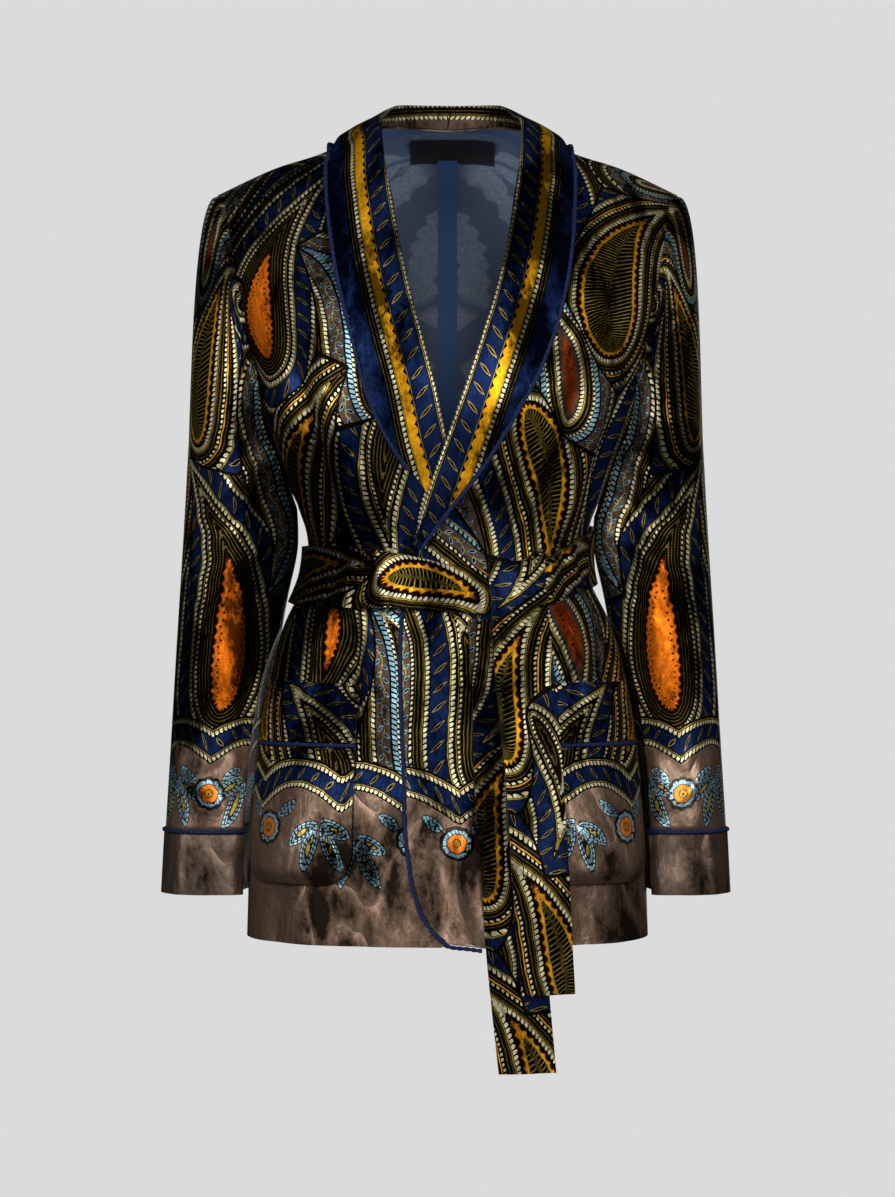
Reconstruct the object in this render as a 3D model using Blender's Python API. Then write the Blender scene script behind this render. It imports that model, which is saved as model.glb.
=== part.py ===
"""Belted velvet jacket with a shawl collar, hollow and standing as if it were worn.

Metres, +Z up. The front faces -Y and the wearer's left is +X.
The origin lies between the shoulders, about where the shoulder seams reach the neck.
"""

import math
from collections import namedtuple

import bmesh
import bpy
import numpy as np

# Cloth and seams
VELVET = 0.0018
DOUBLE_VELVET = 0.0030
COLLAR_CLOTH = 0.0026
LINING_CLOTH = 0.0010
SEAM_GAP = 0.0003
LAYER_GAP = 0.0006
ARMHOLE_GAP = 0.0010
CORD_RADIUS = 0.0020

# The body: one row for each level from the hem to the ridge of the shoulders.
# height is on the centre line, fall is the share of the shoulder slope that the row takes,
# bite is the share of the half width that the armhole cuts away.
BodyRow = namedtuple("BodyRow", "height fall half_width front back bite")
BODY = (
    BodyRow(-0.7130, 0.00, 0.1800, 0.128, 0.132, 0.000),
    BodyRow(-0.6500, 0.00, 0.1780, 0.127, 0.132, 0.000),
    BodyRow(-0.5800, 0.00, 0.1740, 0.124, 0.129, 0.000),
    BodyRow(-0.5050, 0.00, 0.1645, 0.118, 0.118, 0.000),
    BodyRow(-0.4350, 0.00, 0.1465, 0.109, 0.101, 0.000),
    BodyRow(-0.3900, 0.00, 0.1265, 0.103, 0.093, 0.000),
    BodyRow(-0.3500, 0.00, 0.1270, 0.106, 0.092, 0.000),
    BodyRow(-0.3000, 0.00, 0.1480, 0.117, 0.100, 0.000),
    BodyRow(-0.2550, 0.00, 0.1665, 0.128, 0.107, 0.000),
    BodyRow(-0.2150, 0.00, 0.1750, 0.132, 0.111, 0.000),
    BodyRow(-0.1500, 0.25, 0.1940, 0.124, 0.115, 0.078),
    BodyRow(-0.0850, 0.55, 0.2030, 0.104, 0.113, 0.072),
    BodyRow(-0.0350, 0.82, 0.2060, 0.078, 0.102, 0.060),
    BodyRow(0.0040, 0.95, 0.2070, 0.047, 0.081, 0.042),
    BodyRow(0.0195, 0.99, 0.2070, 0.024, 0.052, 0.018),
    BodyRow(0.0245, 1.00, 0.2070, 0.000, 0.000, 0.000),
)
ARMPIT_ROW = 9
ROUNDNESS = 2.3
# How far the shoulder ridge has dropped at each distance from the centre line.
ShoulderDrop = namedtuple("ShoulderDrop", "out drop")
SHOULDER = (
    ShoulderDrop(0.000, 0.0000),
    ShoulderDrop(0.030, 0.0010),
    ShoulderDrop(0.050, 0.0045),
    ShoulderDrop(0.068, 0.0130),
    ShoulderDrop(0.108, 0.0345),
    ShoulderDrop(0.156, 0.0505),
    ShoulderDrop(0.207, 0.0738),
)
NECK_HALF_WIDTH = 0.068
NECK_BACK_DEPTH = 0.058
FRONT_COLUMNS = 13
BACK_COLUMNS = 10
HEM_CORNER = -0.672

# Largest folds of the body: a ridge (height above 0) or a trough from one place to another,
# seen from the front (facing 1) or from behind (facing -1).
Fold = namedtuple("Fold", "facing x0 z0 x1 z1 width height")
BODY_FOLDS = (
    Fold(1, -0.152, -0.215, -0.110, -0.372, 0.011, 0.0055),
    Fold(1, -0.134, -0.200, -0.092, -0.372, 0.010, -0.0050),
    Fold(1, -0.116, -0.190, -0.076, -0.372, 0.012, 0.0045),
    Fold(1, 0.138, -0.225, 0.104, -0.362, 0.010, 0.0055),
    Fold(1, 0.118, -0.200, 0.084, -0.362, 0.009, -0.0040),
    Fold(1, -0.083, -0.425, -0.079, -0.500, 0.008, -0.0050),
    Fold(1, -0.062, -0.430, -0.052, -0.560, 0.014, 0.0035),
    Fold(1, 0.112, -0.425, 0.120, -0.520, 0.012, 0.0040),
    Fold(-1, -0.070, -0.240, -0.046, -0.365, 0.012, 0.0050),
    Fold(-1, 0.064, -0.230, 0.040, -0.365, 0.012, 0.0050),
    Fold(-1, -0.050, -0.420, -0.078, -0.560, 0.014, 0.0050),
    Fold(-1, 0.052, -0.420, 0.084, -0.570, 0.014, 0.0050),
)
# Folds that only the upper front has, where it laps over the lower one.
LAP_FOLDS = (
    Fold(1, 0.004, -0.590, 0.040, -0.735, 0.011, 0.0045),
    Fold(1, -0.022, -0.600, 0.002, -0.735, 0.009, 0.0030),
)
BELT_PRESS = 0.042

# Where the fronts end: the distance of each edge from the centre line, counted towards its own side.
# The left front lies on top; the right one ends plainly under it.
EdgePoint = namedtuple("EdgePoint", "height left right")
FRONT_EDGES = (
    EdgePoint(-0.7130, 0.0300, 0.0060),
    EdgePoint(-0.7115, 0.0140, 0.0000),
    EdgePoint(-0.7045, -0.0030, -0.0070),
    EdgePoint(-0.6920, -0.0150, -0.0120),
    EdgePoint(-0.6660, -0.0260, -0.0180),
    EdgePoint(-0.6300, -0.0325, -0.0215),
    EdgePoint(-0.5600, -0.0355, -0.0240),
    EdgePoint(-0.4350, -0.0375, -0.0270),
    EdgePoint(-0.3660, -0.0290, -0.0250),
    EdgePoint(-0.3350, -0.0215, -0.0170),
    EdgePoint(-0.3020, -0.0115, -0.0080),
    EdgePoint(-0.2700, 0.0000, 0.0015),
    EdgePoint(-0.2340, 0.0130, 0.0090),
    EdgePoint(-0.1900, 0.0280, 0.0205),
    EdgePoint(-0.1450, 0.0420, 0.0325),
    EdgePoint(-0.1000, 0.0525, 0.0425),
    EdgePoint(-0.0550, 0.0600, 0.0525),
    EdgePoint(-0.0120, 0.0660, 0.0655),
    EdgePoint(0.0115, 0.0680, 0.0680),
)
EDGE_SETBACK = 0.0045
# The left front rides over the right one, and over the right collar where the two cross.
LAP_LIFT = 0.0034
CROSSING_LIFT = 0.0042
CROSSING_LEVEL = -0.318
CROSSING_REACH = 0.062
LAP_FROM = 0.066
LAP_TO = 0.034

# The shawl collar from the tip up to the back of the neck: its roll line and its outer edge on the
# wearer's left and right, each as a distance from the centre line. stand is how far the roll is held
# off the body, and chest the share of the row that lies on it. Rows with a roll_y stand round the neck;
# facing says which side of the body the edge is on.
CollarRow = namedtuple(
    "CollarRow", "left_roll right_roll roll_y roll_z stand left_edge right_edge edge_z facing chest"
)
COLLAR = (
    CollarRow(-0.0290, -0.0280, None, -0.3640, 0.000, -0.0235, -0.0230, -0.3670, 1, 1.0),
    CollarRow(-0.0215, -0.0170, None, -0.3350, 0.000, -0.0035, 0.0030, -0.3370, 1, 1.0),
    CollarRow(-0.0115, -0.0080, None, -0.3020, 0.000, 0.0190, 0.0255, -0.3080, 1, 1.0),
    CollarRow(0.0000, 0.0015, None, -0.2700, 0.000, 0.0425, 0.0490, -0.2730, 1, 1.0),
    CollarRow(0.0130, 0.0090, None, -0.2340, 0.000, 0.0655, 0.0660, -0.2360, 1, 1.0),
    CollarRow(0.0280, 0.0205, None, -0.1900, 0.000, 0.0850, 0.0775, -0.1940, 1, 1.0),
    CollarRow(0.0420, 0.0325, None, -0.1450, 0.000, 0.0985, 0.0895, -0.1470, 1, 1.0),
    CollarRow(0.0520, 0.0420, None, -0.1000, 0.001, 0.1060, 0.0980, -0.1000, 1, 1.0),
    CollarRow(0.0590, 0.0495, None, -0.0550, 0.004, 0.1090, 0.1030, -0.0560, 1, 1.0),
    CollarRow(0.0600, 0.0525, None, -0.0040, 0.010, 0.1090, 0.1035, -0.0280, 1, 0.5),
    CollarRow(0.0560, 0.0530, 0.006, 0.0265, 0.000, 0.1070, 0.1020, -0.0130, 1, 0.0),
    CollarRow(0.0455, 0.0440, 0.043, 0.0395, 0.000, 0.0870, 0.0830, -0.0120, -1, 0.0),
    CollarRow(0.0270, 0.0225, 0.061, 0.0425, 0.000, 0.0490, 0.0430, -0.0225, -1, 0.0),
    CollarRow(0.0040, -0.0040, 0.066, 0.0430, 0.000, 0.0040, -0.0040, -0.0300, -1, 0.0),
)
# Where the collar's stand meets the neck on the last rows of the table.
STAND_FRONT = (0.0660, -0.0120)
STAND_BACK = (0.0500, 0.0270, SEAM_GAP)
RIGHT_COLLAR_END = -0.338
RIGHT_PIPING_END = -0.314
COLLAR_GAP = 0.0013
COLLAR_LIP = 0.0055
COLLAR_ROLL = 0.0040
COLLAR_STATIONS = 29
NECK_STATIONS = 13
NECK_ROWS = 5
NECK_OFF = 0.0050
FALL_SHARES = (0.36, 0.60, 0.82, 1.0)
FALL_BULGE = 0.005

# Sleeve rings below the armhole: height, centre and half sizes.
SleeveRing = namedtuple("SleeveRing", "height x y half_width half_depth")
SLEEVE = (
    SleeveRing(-0.270, 0.1900, 0.012, 0.0435, 0.0680),
    SleeveRing(-0.360, 0.1890, 0.016, 0.0500, 0.0580),
    SleeveRing(-0.450, 0.1975, 0.014, 0.0470, 0.0540),
    SleeveRing(-0.540, 0.2030, 0.010, 0.0465, 0.0500),
    SleeveRing(-0.619, 0.2080, 0.006, 0.0460, 0.0470),
    SleeveRing(-0.678, 0.2110, 0.004, 0.0460, 0.0460),
)
SLEEVE_SIDES = 24
CAP_ROWS = 6
ARM_ROWS = 8
CAP_OUT = 0.045
LEFT_SLEEVE_IN = 0.003
CUFF_SEAM = -0.6195
CUFF_BOTTOM = -0.6755
CORD_SLOT = 0.0026
CUFF_STEP = 0.0012
ARM_CLEAR_HIGH = 0.0045
ARM_CLEAR_LOW = 0.0075
# Long folds of the sleeves: turn is the angle from the outer side towards the front.
SleeveFold = namedtuple("SleeveFold", "turn top bottom width depth")
SLEEVE_FOLDS = (
    SleeveFold(2.15, -0.200, -0.620, 0.26, -0.0065),
    SleeveFold(1.60, -0.250, -0.560, 0.30, 0.0035),
    SleeveFold(-2.00, -0.220, -0.600, 0.30, -0.0060),
    SleeveFold(-1.00, -0.300, -0.640, 0.35, -0.0030),
)

# Patch pockets
POCKET_TOP = -0.4860
POCKET_SEAM = -0.5400
POCKET_BOTTOM = -0.6620
POCKET_INNER_TURN = math.radians(24.5)
POCKET_OUTER_TURN = math.radians(73.0)
POCKET_CORNER = 0.030
POCKET_PUFF = 0.0035
POCKET_GAP = 0.0015
POCKET_COLUMNS = 9

# The belt: height of its middle, half of its height, at each turn from the centre front (left is +).
BeltRow = namedtuple("BeltRow", "turn height half_height")
BELT = (
    BeltRow(-180.0, -0.380, 0.026),
    BeltRow(-90.0, -0.391, 0.026),
    BeltRow(-40.0, -0.394, 0.0275),
    BeltRow(-18.0, -0.397, 0.0255),
    BeltRow(12.0, -0.407, 0.0200),
    BeltRow(24.0, -0.407, 0.0195),
    BeltRow(45.0, -0.391, 0.0225),
    BeltRow(75.0, -0.377, 0.0255),
    BeltRow(180.0, -0.380, 0.026),
)
BELT_SPAN = (26.5, 382.0)
BELT_GAP = 0.0030
BELT_LIFT = 0.0075
BELT_CREASE = 0.0035
# The hanging ends: left and right edge and distance from the body at each height.
TailRow = namedtuple("TailRow", "height left right off")
FRONT_TAIL = (
    TailRow(-0.4130, 0.0375, 0.0855, 0.0175),
    TailRow(-0.4500, 0.0385, 0.0890, 0.0180),
    TailRow(-0.4825, 0.0410, 0.0925, 0.0175),
    TailRow(-0.5580, 0.0485, 0.0985, 0.0165),
    TailRow(-0.6545, 0.0555, 0.1045, 0.0160),
    TailRow(-0.7150, 0.0600, 0.1070, 0.0160),
    TailRow(-0.7530, 0.0640, 0.1090, 0.0160),
)
BACK_TAIL = (
    TailRow(-0.4310, 0.0175, 0.0680, 0.0060),
    TailRow(-0.4740, 0.0205, 0.0705, 0.0085),
    TailRow(-0.5640, 0.0225, 0.0735, 0.0085),
    TailRow(-0.6240, 0.0270, 0.0775, 0.0085),
    TailRow(-0.7140, 0.0330, 0.0840, 0.0085),
    TailRow(-0.8210, 0.0440, 0.0930, 0.0085),
)
TAIL_LEAN = 1.35
KNOT_LEVEL = -0.405
# How the front end turns over the belt: rise above the belt's top edge, distance beyond its inner face.
KNOT_ROLL = ((-0.0070, 0.0068), (0.0015, 0.0060), (0.0050, 0.0024), (0.0044, -0.0015))

# Inside the back neck
LINING_COLUMNS = 7
LINING_GAP = 0.0016
LINING_BOTTOM = -0.430
TAPE_HALF_WIDTH = 0.0090
LABEL_HALF_WIDTH = 0.0390
LABEL_CENTRE = 0.0045
LABEL_DROP = 1.05
# A strip's place on the lining: levels count the lining's rows.
Strip = namedtuple("Strip", "half_width centre levels columns")

Finish = namedtuple("Finish", "colour roughness metallic")
FINISHES = {
    "printed_velvet": Finish((0.070, 0.055, 0.052), 0.75, 0.0),
    "brown_velvet": Finish((0.105, 0.072, 0.055), 0.70, 0.0),
    "navy_velvet": Finish((0.020, 0.030, 0.085), 0.72, 0.0),
    "navy_cord": Finish((0.030, 0.045, 0.120), 0.65, 0.0),
    "navy_lining": Finish((0.045, 0.070, 0.125), 0.55, 0.0),
    "black_label": Finish((0.012, 0.012, 0.013), 0.60, 0.0),
}


# Smooth tables

def smooth_rows(rows, stations):
    """Passes a smooth curve through the columns of a table, given each row's station."""
    rows = np.asarray(rows, float)
    stations = np.asarray(stations, float)
    slopes = np.gradient(rows, stations, axis=0)

    def at(where):
        where = np.clip(np.asarray(where, float), stations[0], stations[-1])
        k = np.clip(np.searchsorted(stations, where, side="right") - 1, 0, len(stations) - 2)
        span = (stations[k + 1] - stations[k])[..., None]
        t = (where - stations[k])[..., None] / span
        start = (1 + 2 * t) * (1 - t) ** 2 * rows[k] + t * (1 - t) ** 2 * span * slopes[k]
        end = t * t * (3 - 2 * t) * rows[k + 1] - t * t * (1 - t) * span * slopes[k + 1]
        return start + end

    return at


def ease(value, low, high):
    """0 at low and 1 at high, with a soft start and end; low may be the larger."""
    t = np.clip((np.asarray(value, float) - low) / (high - low), 0, 1)
    return t * t * (3 - 2 * t)


def body_table():
    """The body's columns against the distance up the cloth, mirrored past the ridge to be round there."""
    rows = np.array(BODY)
    beyond = rows[-2] * np.array([1, 1, 1, -1, -1, 1])
    rows = np.vstack([rows, beyond])
    depth = rows[:, 3] + rows[:, 4]
    steps = np.hypot(np.diff(rows[:, 0]), np.diff(depth) / 2)
    stations = np.concatenate([[0], np.cumsum(steps)])
    return smooth_rows(rows, stations), stations[:-1]


BODY_AT, BODY_STATIONS = body_table()
RIDGE = BODY_STATIONS[-1]
ARMPIT = BODY_STATIONS[ARMPIT_ROW]
FINE_STATIONS = np.linspace(0, RIDGE, 3000)
FINE_BODY = BODY_AT(FINE_STATIONS)
drop_at = smooth_rows([[row.drop] for row in SHOULDER], [row.out for row in SHOULDER])
edge_at = smooth_rows([row[1:] for row in FRONT_EDGES], [row.height for row in FRONT_EDGES])
belt_at = smooth_rows([row[1:] for row in BELT], [row.turn for row in BELT])


# The body's surface

def signed_power(value, power):
    return np.sign(value) * np.abs(value) ** power


def bare_body(turn, up):
    """A point of the body with no folds.

    turn is the angle from the centre front, and up the distance from the hem.
    """
    height, fall, half_width, front, back, _ = np.moveaxis(BODY_AT(up), -1, 0)
    depth = np.where(np.cos(turn) > 0, front, back)
    x = half_width * signed_power(np.sin(turn), 2 / ROUNDNESS)
    y = -depth * signed_power(np.cos(turn), 2 / ROUNDNESS)
    z = height - fall * drop_at(np.abs(x))[..., 0]
    return np.stack([x, y, z], axis=-1)


def body_normal(turn, up):
    """The outward direction of the bare body, from small steps round and up it."""
    step = 1e-4
    sideways = bare_body(turn + step, up) - bare_body(turn - step, up)
    upwards = bare_body(turn, np.minimum(up + step, RIDGE)) - bare_body(turn, np.maximum(up - step, 0))
    normal = np.cross(sideways, upwards)
    return normal / np.maximum(np.linalg.norm(normal, axis=-1, keepdims=True), 1e-12)


def belt_level(turn):
    """Middle and half height of the belt at a turn in radians."""
    degrees = (np.degrees(turn) + 180) % 360 - 180
    height, half = np.moveaxis(belt_at(degrees), -1, 0)
    return height, half


def fold_lift(folds, x, z):
    """The summed heights of folds at x and z, each fading towards its ends; one row for each fold."""
    heights = []
    for fold in folds:
        along = np.array([fold.x1 - fold.x0, fold.z1 - fold.z0])
        length = np.linalg.norm(along)
        t = ((x - fold.x0) * along[0] + (z - fold.z0) * along[1]) / length**2
        away = ((z - fold.z0) * along[0] - (x - fold.x0) * along[1]) / length
        fade = ease(t, -0.15, 0.35) * ease(t, 1.12, 0.80)
        heights.append(fold.height * fade * np.exp(-((away / fold.width) ** 2)))
    return np.array(heights)


def fold_height(points, turn):
    """How far the large folds lift or sink the cloth at points of the bare body.

    The belt presses them flat.
    """
    x, y, z = np.moveaxis(points, -1, 0)
    total = np.zeros_like(x)
    for fold, height in zip(BODY_FOLDS, fold_lift(BODY_FOLDS, x, z)):
        total += height * ease(-fold.facing * y, 0.0, 0.03)
    return total * (1 - np.exp(-(((z - belt_level(turn)[0]) / BELT_PRESS) ** 4)))


def body(turn, up, off=0.0):
    """A point of the folded body, moved out by off."""
    turn, up = np.broadcast_arrays(np.asarray(turn, float), np.asarray(up, float))
    bare = bare_body(turn, up)
    return bare + body_normal(turn, up) * (fold_height(bare, turn) + off)[..., None]


def up_of(x, z):
    """The distance up the body of the place at x and z."""
    heights = FINE_BODY[:, 0] - FINE_BODY[:, 1] * drop_at(abs(x))[0]
    return float(np.interp(z, heights, FINE_STATIONS))


def turn_of(x, up, facing=1):
    """The angle from the centre front of the place at x on one row."""
    half_width = BODY_AT(up)[2]
    angle = math.asin(min(1.0, abs(x) / half_width) ** (ROUNDNESS / 2)) * (1 if x >= 0 else -1)
    return angle if facing > 0 else math.pi - angle


def on_body(x, z, off=0.0, facing=1):
    """A point of the body at x and z as seen from the front or from behind."""
    up = up_of(x, z)
    return body(turn_of(x, up, facing), up, off)


def arm_turn(up, facing):
    """Where a row meets the side seam or the armhole."""
    bite = max(0.0, float(BODY_AT(up)[5])) if ARMPIT < up < RIDGE else 0.0
    angle = math.asin((1 - bite) ** (ROUNDNESS / 2))
    return angle if facing > 0 else math.pi - angle


def lap(x, z):
    """How far the left front is lifted off the body, to lie over the right front and its collar."""
    over = ease(x, LAP_FROM, LAP_TO)
    crossing = np.exp(-(((np.asarray(z) - CROSSING_LEVEL) / CROSSING_REACH) ** 2))
    return over * (LAP_LIFT + CROSSING_LIFT * crossing) + fold_lift(LAP_FOLDS, x, z).sum(axis=0)


# Meshes

def material(finish_name):
    found = bpy.data.materials.get(finish_name)
    if found:
        return found
    finish = FINISHES[finish_name]
    made = bpy.data.materials.new(finish_name)
    made.use_nodes = True
    shader = made.node_tree.nodes["Principled BSDF"]
    shader.inputs["Base Color"].default_value = (*finish.colour, 1.0)
    shader.inputs["Roughness"].default_value = finish.roughness
    shader.inputs["Metallic"].default_value = finish.metallic
    return made


def place(name, data, finish_name):
    piece = bpy.data.objects.new(name, data)
    bpy.context.scene.collection.objects.link(piece)
    data.materials.append(material(finish_name))
    return piece


def grid_normals(grid, wrap):
    """Outward directions of a grid of points, rows by columns; wrap joins the last column to the first."""
    if wrap:
        round_ends = np.concatenate([grid[:, -1:], grid, grid[:, :1]], axis=1)
        sideways = round_ends[:, 2:] - round_ends[:, :-2]
    else:
        sideways = np.gradient(grid, axis=1)
    normal = np.cross(sideways, np.gradient(grid, axis=0))
    return normal / np.linalg.norm(normal, axis=-1, keepdims=True)


def wall(name, outer, inner, finish_name, wrap=False):
    """A closed sheet of cloth between two grids of points whose columns run to the left seen from outside."""
    rows, columns = outer.shape[:2]
    mesh = bmesh.new()
    shown, hidden = [[[mesh.verts.new(p) for p in row] for row in grid] for grid in (outer, inner)]
    for j in range(rows - 1):
        for i in range(columns if wrap else columns - 1):
            k = (i + 1) % columns
            mesh.faces.new((shown[j][i], shown[j][k], shown[j + 1][k], shown[j + 1][i]))
            mesh.faces.new((hidden[j + 1][i], hidden[j + 1][k], hidden[j][k], hidden[j][i]))
    for i in range(columns if wrap else columns - 1):
        k = (i + 1) % columns
        mesh.faces.new((hidden[0][i], hidden[0][k], shown[0][k], shown[0][i]))
        mesh.faces.new((shown[-1][i], shown[-1][k], hidden[-1][k], hidden[-1][i]))
    if not wrap:
        for j in range(rows - 1):
            mesh.faces.new((shown[j][0], shown[j + 1][0], hidden[j + 1][0], hidden[j][0]))
            mesh.faces.new((hidden[j][-1], hidden[j + 1][-1], shown[j + 1][-1], shown[j][-1]))
    bmesh.ops.recalc_face_normals(mesh, faces=mesh.faces)
    data = bpy.data.meshes.new(name)
    mesh.to_mesh(data)
    mesh.free()
    data.shade_smooth()
    data.set_sharp_from_angle(angle=math.radians(50))
    return place(name, data, finish_name)


def cord(name, points, finish_name, closed=False):
    """A round cord through points."""
    curve = bpy.data.curves.new(name, "CURVE")
    curve.dimensions = "3D"
    curve.bevel_depth = CORD_RADIUS
    curve.bevel_resolution = 1
    curve.use_fill_caps = not closed
    spline = curve.splines.new("POLY")
    spline.points.add(len(points) - 1)
    spline.use_cyclic_u = closed
    for point, where in zip(spline.points, points):
        point.co = (*where, 1.0)
    return place(name, curve, finish_name)


def mirrored(points):
    return points * np.array([-1.0, 1.0, 1.0])


# Body panels

def neck_up(x):
    """The distance up the back of the neckline at x."""
    depth = NECK_BACK_DEPTH * math.sqrt(max(0.0, 1 - (x / NECK_HALF_WIDTH) ** 2))
    top = FINE_STATIONS > ARMPIT
    return float(np.interp(-depth, -FINE_BODY[top, 4], FINE_STATIONS[top]))


def armhole_rows(facing):
    """Distances up the body from the armpit to the shoulder; a row of the back lies on the neckline."""
    ups = np.linspace(ARMPIT, RIDGE, SLEEVE_SIDES // 2 + 1)
    if facing < 0:
        neck = neck_up(0.0)
        ups[np.argmin(np.abs(ups - neck))] = neck
    return ups


def half_seam_turn(up):
    """The angle that half a seam's gap takes at the side."""
    return 0.5 * SEAM_GAP / max(float(BODY_AT(up)[3]), 0.03)


def front_edge_turn(up, side):
    """Where an edge of the fronts crosses a row; side is 0 on the left and 1 on the right."""
    x = 0.0
    for _ in range(5):
        z = float(bare_body(turn_of(x, up), up)[2])
        x = float(edge_at(z)[side]) + EDGE_SETBACK * float(ease(z, -0.386, -0.368))
    return turn_of(x, up)


def front_grid(side):
    """Turns and distances up of a front's points, counted towards its own side."""
    corner_top = up_of(0.0, HEM_CORNER)
    near_hem = corner_top * np.linspace(0, 1, 5, endpoint=False) ** 1.6
    lower = np.linspace(corner_top, ARMPIT, 16, endpoint=False)
    upper = armhole_rows(1)
    upper[-1] -= SEAM_GAP / 2
    ups = np.concatenate([near_hem, lower, upper])
    turns = [
        np.linspace(front_edge_turn(up, side), arm_turn(up, 1) - half_seam_turn(up), FRONT_COLUMNS)
        for up in ups
    ]
    return np.array(turns), np.repeat(ups[:, None], FRONT_COLUMNS, axis=1)


def make_fronts():
    turns, ups = front_grid(0)
    bare = bare_body(turns, ups)
    lift = lap(bare[..., 0], bare[..., 2])
    wall("front_left", body(turns, ups, lift), body(turns, ups, lift - VELVET), "printed_velvet")
    turns, ups = front_grid(1)
    wall("front_right", body(-turns, ups), body(-turns, ups, -VELVET), "printed_velvet")


def back_inner_turn(up):
    """Where a back half ends: at the centre seam, or at the neck on the rows above it."""
    depth = float(BODY_AT(up)[4])
    if depth >= NECK_BACK_DEPTH or up < ARMPIT:
        return math.pi - 0.5 * SEAM_GAP / max(depth, 0.05)
    x = NECK_HALF_WIDTH * math.sqrt(1 - (depth / NECK_BACK_DEPTH) ** 2)
    return turn_of(max(x, SEAM_GAP), up, -1)


def back_grid():
    """Turns and distances up of a back half's points, on the wearer's left."""
    lower = np.linspace(0, ARMPIT, 15, endpoint=False)
    upper = armhole_rows(-1)
    upper[-1] -= SEAM_GAP / 2
    ups = np.concatenate([lower, upper])
    turns = [
        np.linspace(arm_turn(up, -1) + half_seam_turn(up), back_inner_turn(up), BACK_COLUMNS) for up in ups
    ]
    return np.array(turns), np.repeat(ups[:, None], BACK_COLUMNS, axis=1)


def make_backs():
    turns, ups = back_grid()
    for name, side in (("back_left", 1), ("back_right", -1)):
        wall(name, body(side * turns, ups), body(side * turns, ups, -VELVET), "printed_velvet")


# Sleeves and cuffs

def armhole():
    """The left armhole's line, just clear of the panels: down the front to the armpit, then up the back."""
    front = [(arm_turn(up, 1), up) for up in armhole_rows(1)]
    back = [(arm_turn(up, -1), up) for up in armhole_rows(-1)]
    turns, ups = np.array(front[::-1] + back[1:-1]).T
    line = body(turns, ups)
    along = np.roll(line, -1, axis=0) - np.roll(line, 1, axis=0)
    along /= np.linalg.norm(along, axis=1, keepdims=True)
    outward = body_normal(turns, np.minimum(ups, RIDGE - 0.004))
    away = np.cross(outward, along)
    low = (1 - np.cos(2 * np.pi * np.arange(SLEEVE_SIDES) / SLEEVE_SIDES))[:, None] / 2
    return line + ARMHOLE_GAP * (away * (2 - low) + outward * low)


sleeve_at = smooth_rows([row[1:] for row in SLEEVE], [-row.height for row in SLEEVE])


def side_of_body(y, z):
    """How far out the bare body reaches at y and z, below the armpit."""
    _, _, half_width, front, back, _ = BODY_AT(up_of(0.0, z))
    depth = front if y < 0 else back
    return half_width * max(0.0, 1 - min(1.0, abs(y) / depth) ** ROUNDNESS) ** (1 / ROUNDNESS)


def kept_clear(point, clearance):
    """A sleeve point pushed out from the body where it would touch it."""
    x, y, z = point
    if z > BODY[ARMPIT_ROW].height:
        return point
    return np.array([max(x, side_of_body(y, z) + clearance), y, z])


def sleeve_ring(z, inward, grow=0.0):
    """One ring of a sleeve on the left side: the first point is the outermost, and it turns by the front."""
    x, y, half_width, half_depth = sleeve_at(-z)
    clearance = ARM_CLEAR_HIGH + (ARM_CLEAR_LOW - ARM_CLEAR_HIGH) * float(ease(z, -0.42, -0.50))
    points = []
    for i in range(SLEEVE_SIDES):
        turn = 2 * math.pi * i / SLEEVE_SIDES
        push = grow + sleeve_fold(turn, z)
        out = np.array([math.cos(turn), -math.sin(turn), 0.0])
        point = np.array([x - inward, y, z]) + out * np.array([half_width, half_depth, 0]) + out * push
        points.append(kept_clear(point, clearance - grow))
    return np.array(points)


def sleeve_fold(turn, z):
    total = 0.0
    for fold in SLEEVE_FOLDS:
        apart = math.remainder(turn - fold.turn, 2 * math.pi)
        fade = float(ease(z, fold.top, fold.top - 0.08) * ease(z, fold.bottom, fold.bottom + 0.08))
        total += fold.depth * fade * math.exp(-((apart / fold.width) ** 2))
    return total


def sleeve_grid(inward):
    """A sleeve on the left side from its armhole to its cuff, one row for each level."""
    start = armhole()
    turns = 2 * np.pi * np.arange(SLEEVE_SIDES) / SLEEVE_SIDES
    high = (1 + np.cos(turns)) / 2
    fall = -0.045 * (1 - high) - 0.030 * high * np.sin(turns) ** 2
    leaving = np.stack([0.012 + CAP_OUT * np.sqrt(high), -0.022 * np.sin(turns), fall], axis=1)
    top = SLEEVE[0].height
    end = sleeve_ring(top, inward)
    drop = np.maximum(start[:, 2] - top, 0.05)
    arriving = np.stack([np.full_like(drop, 0.008), np.zeros_like(drop), -1.15 * drop], axis=1)
    rows = []
    for t in np.linspace(0, 1, CAP_ROWS + 1):
        cubic = (2 * t**3 - 3 * t**2 + 1, t**3 - 2 * t**2 + t, 3 * t**2 - 2 * t**3, t**3 - t**2)
        ring = cubic[0] * start + cubic[1] * leaving + cubic[2] * end + cubic[3] * arriving
        clearance = ARMHOLE_GAP + (ARM_CLEAR_HIGH - ARMHOLE_GAP) * min(1.0, 2.5 * t)
        rows.append([kept_clear(point, clearance) for point in ring])
    for z in np.linspace(top, CUFF_SEAM + CORD_SLOT, ARM_ROWS + 1)[1:]:
        rows.append(sleeve_ring(z, inward))
    return np.array(rows)


def tube(name, grid, side, thickness, finish_name):
    """A sleeve-like wall; its rows run downwards and turn by the front on the left side."""
    inner = grid - grid_normals(grid, True) * thickness
    outer = grid
    if side < 0:
        outer, inner = mirrored(grid), mirrored(inner)
    wall(name, outer, inner, finish_name, wrap=True)


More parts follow.
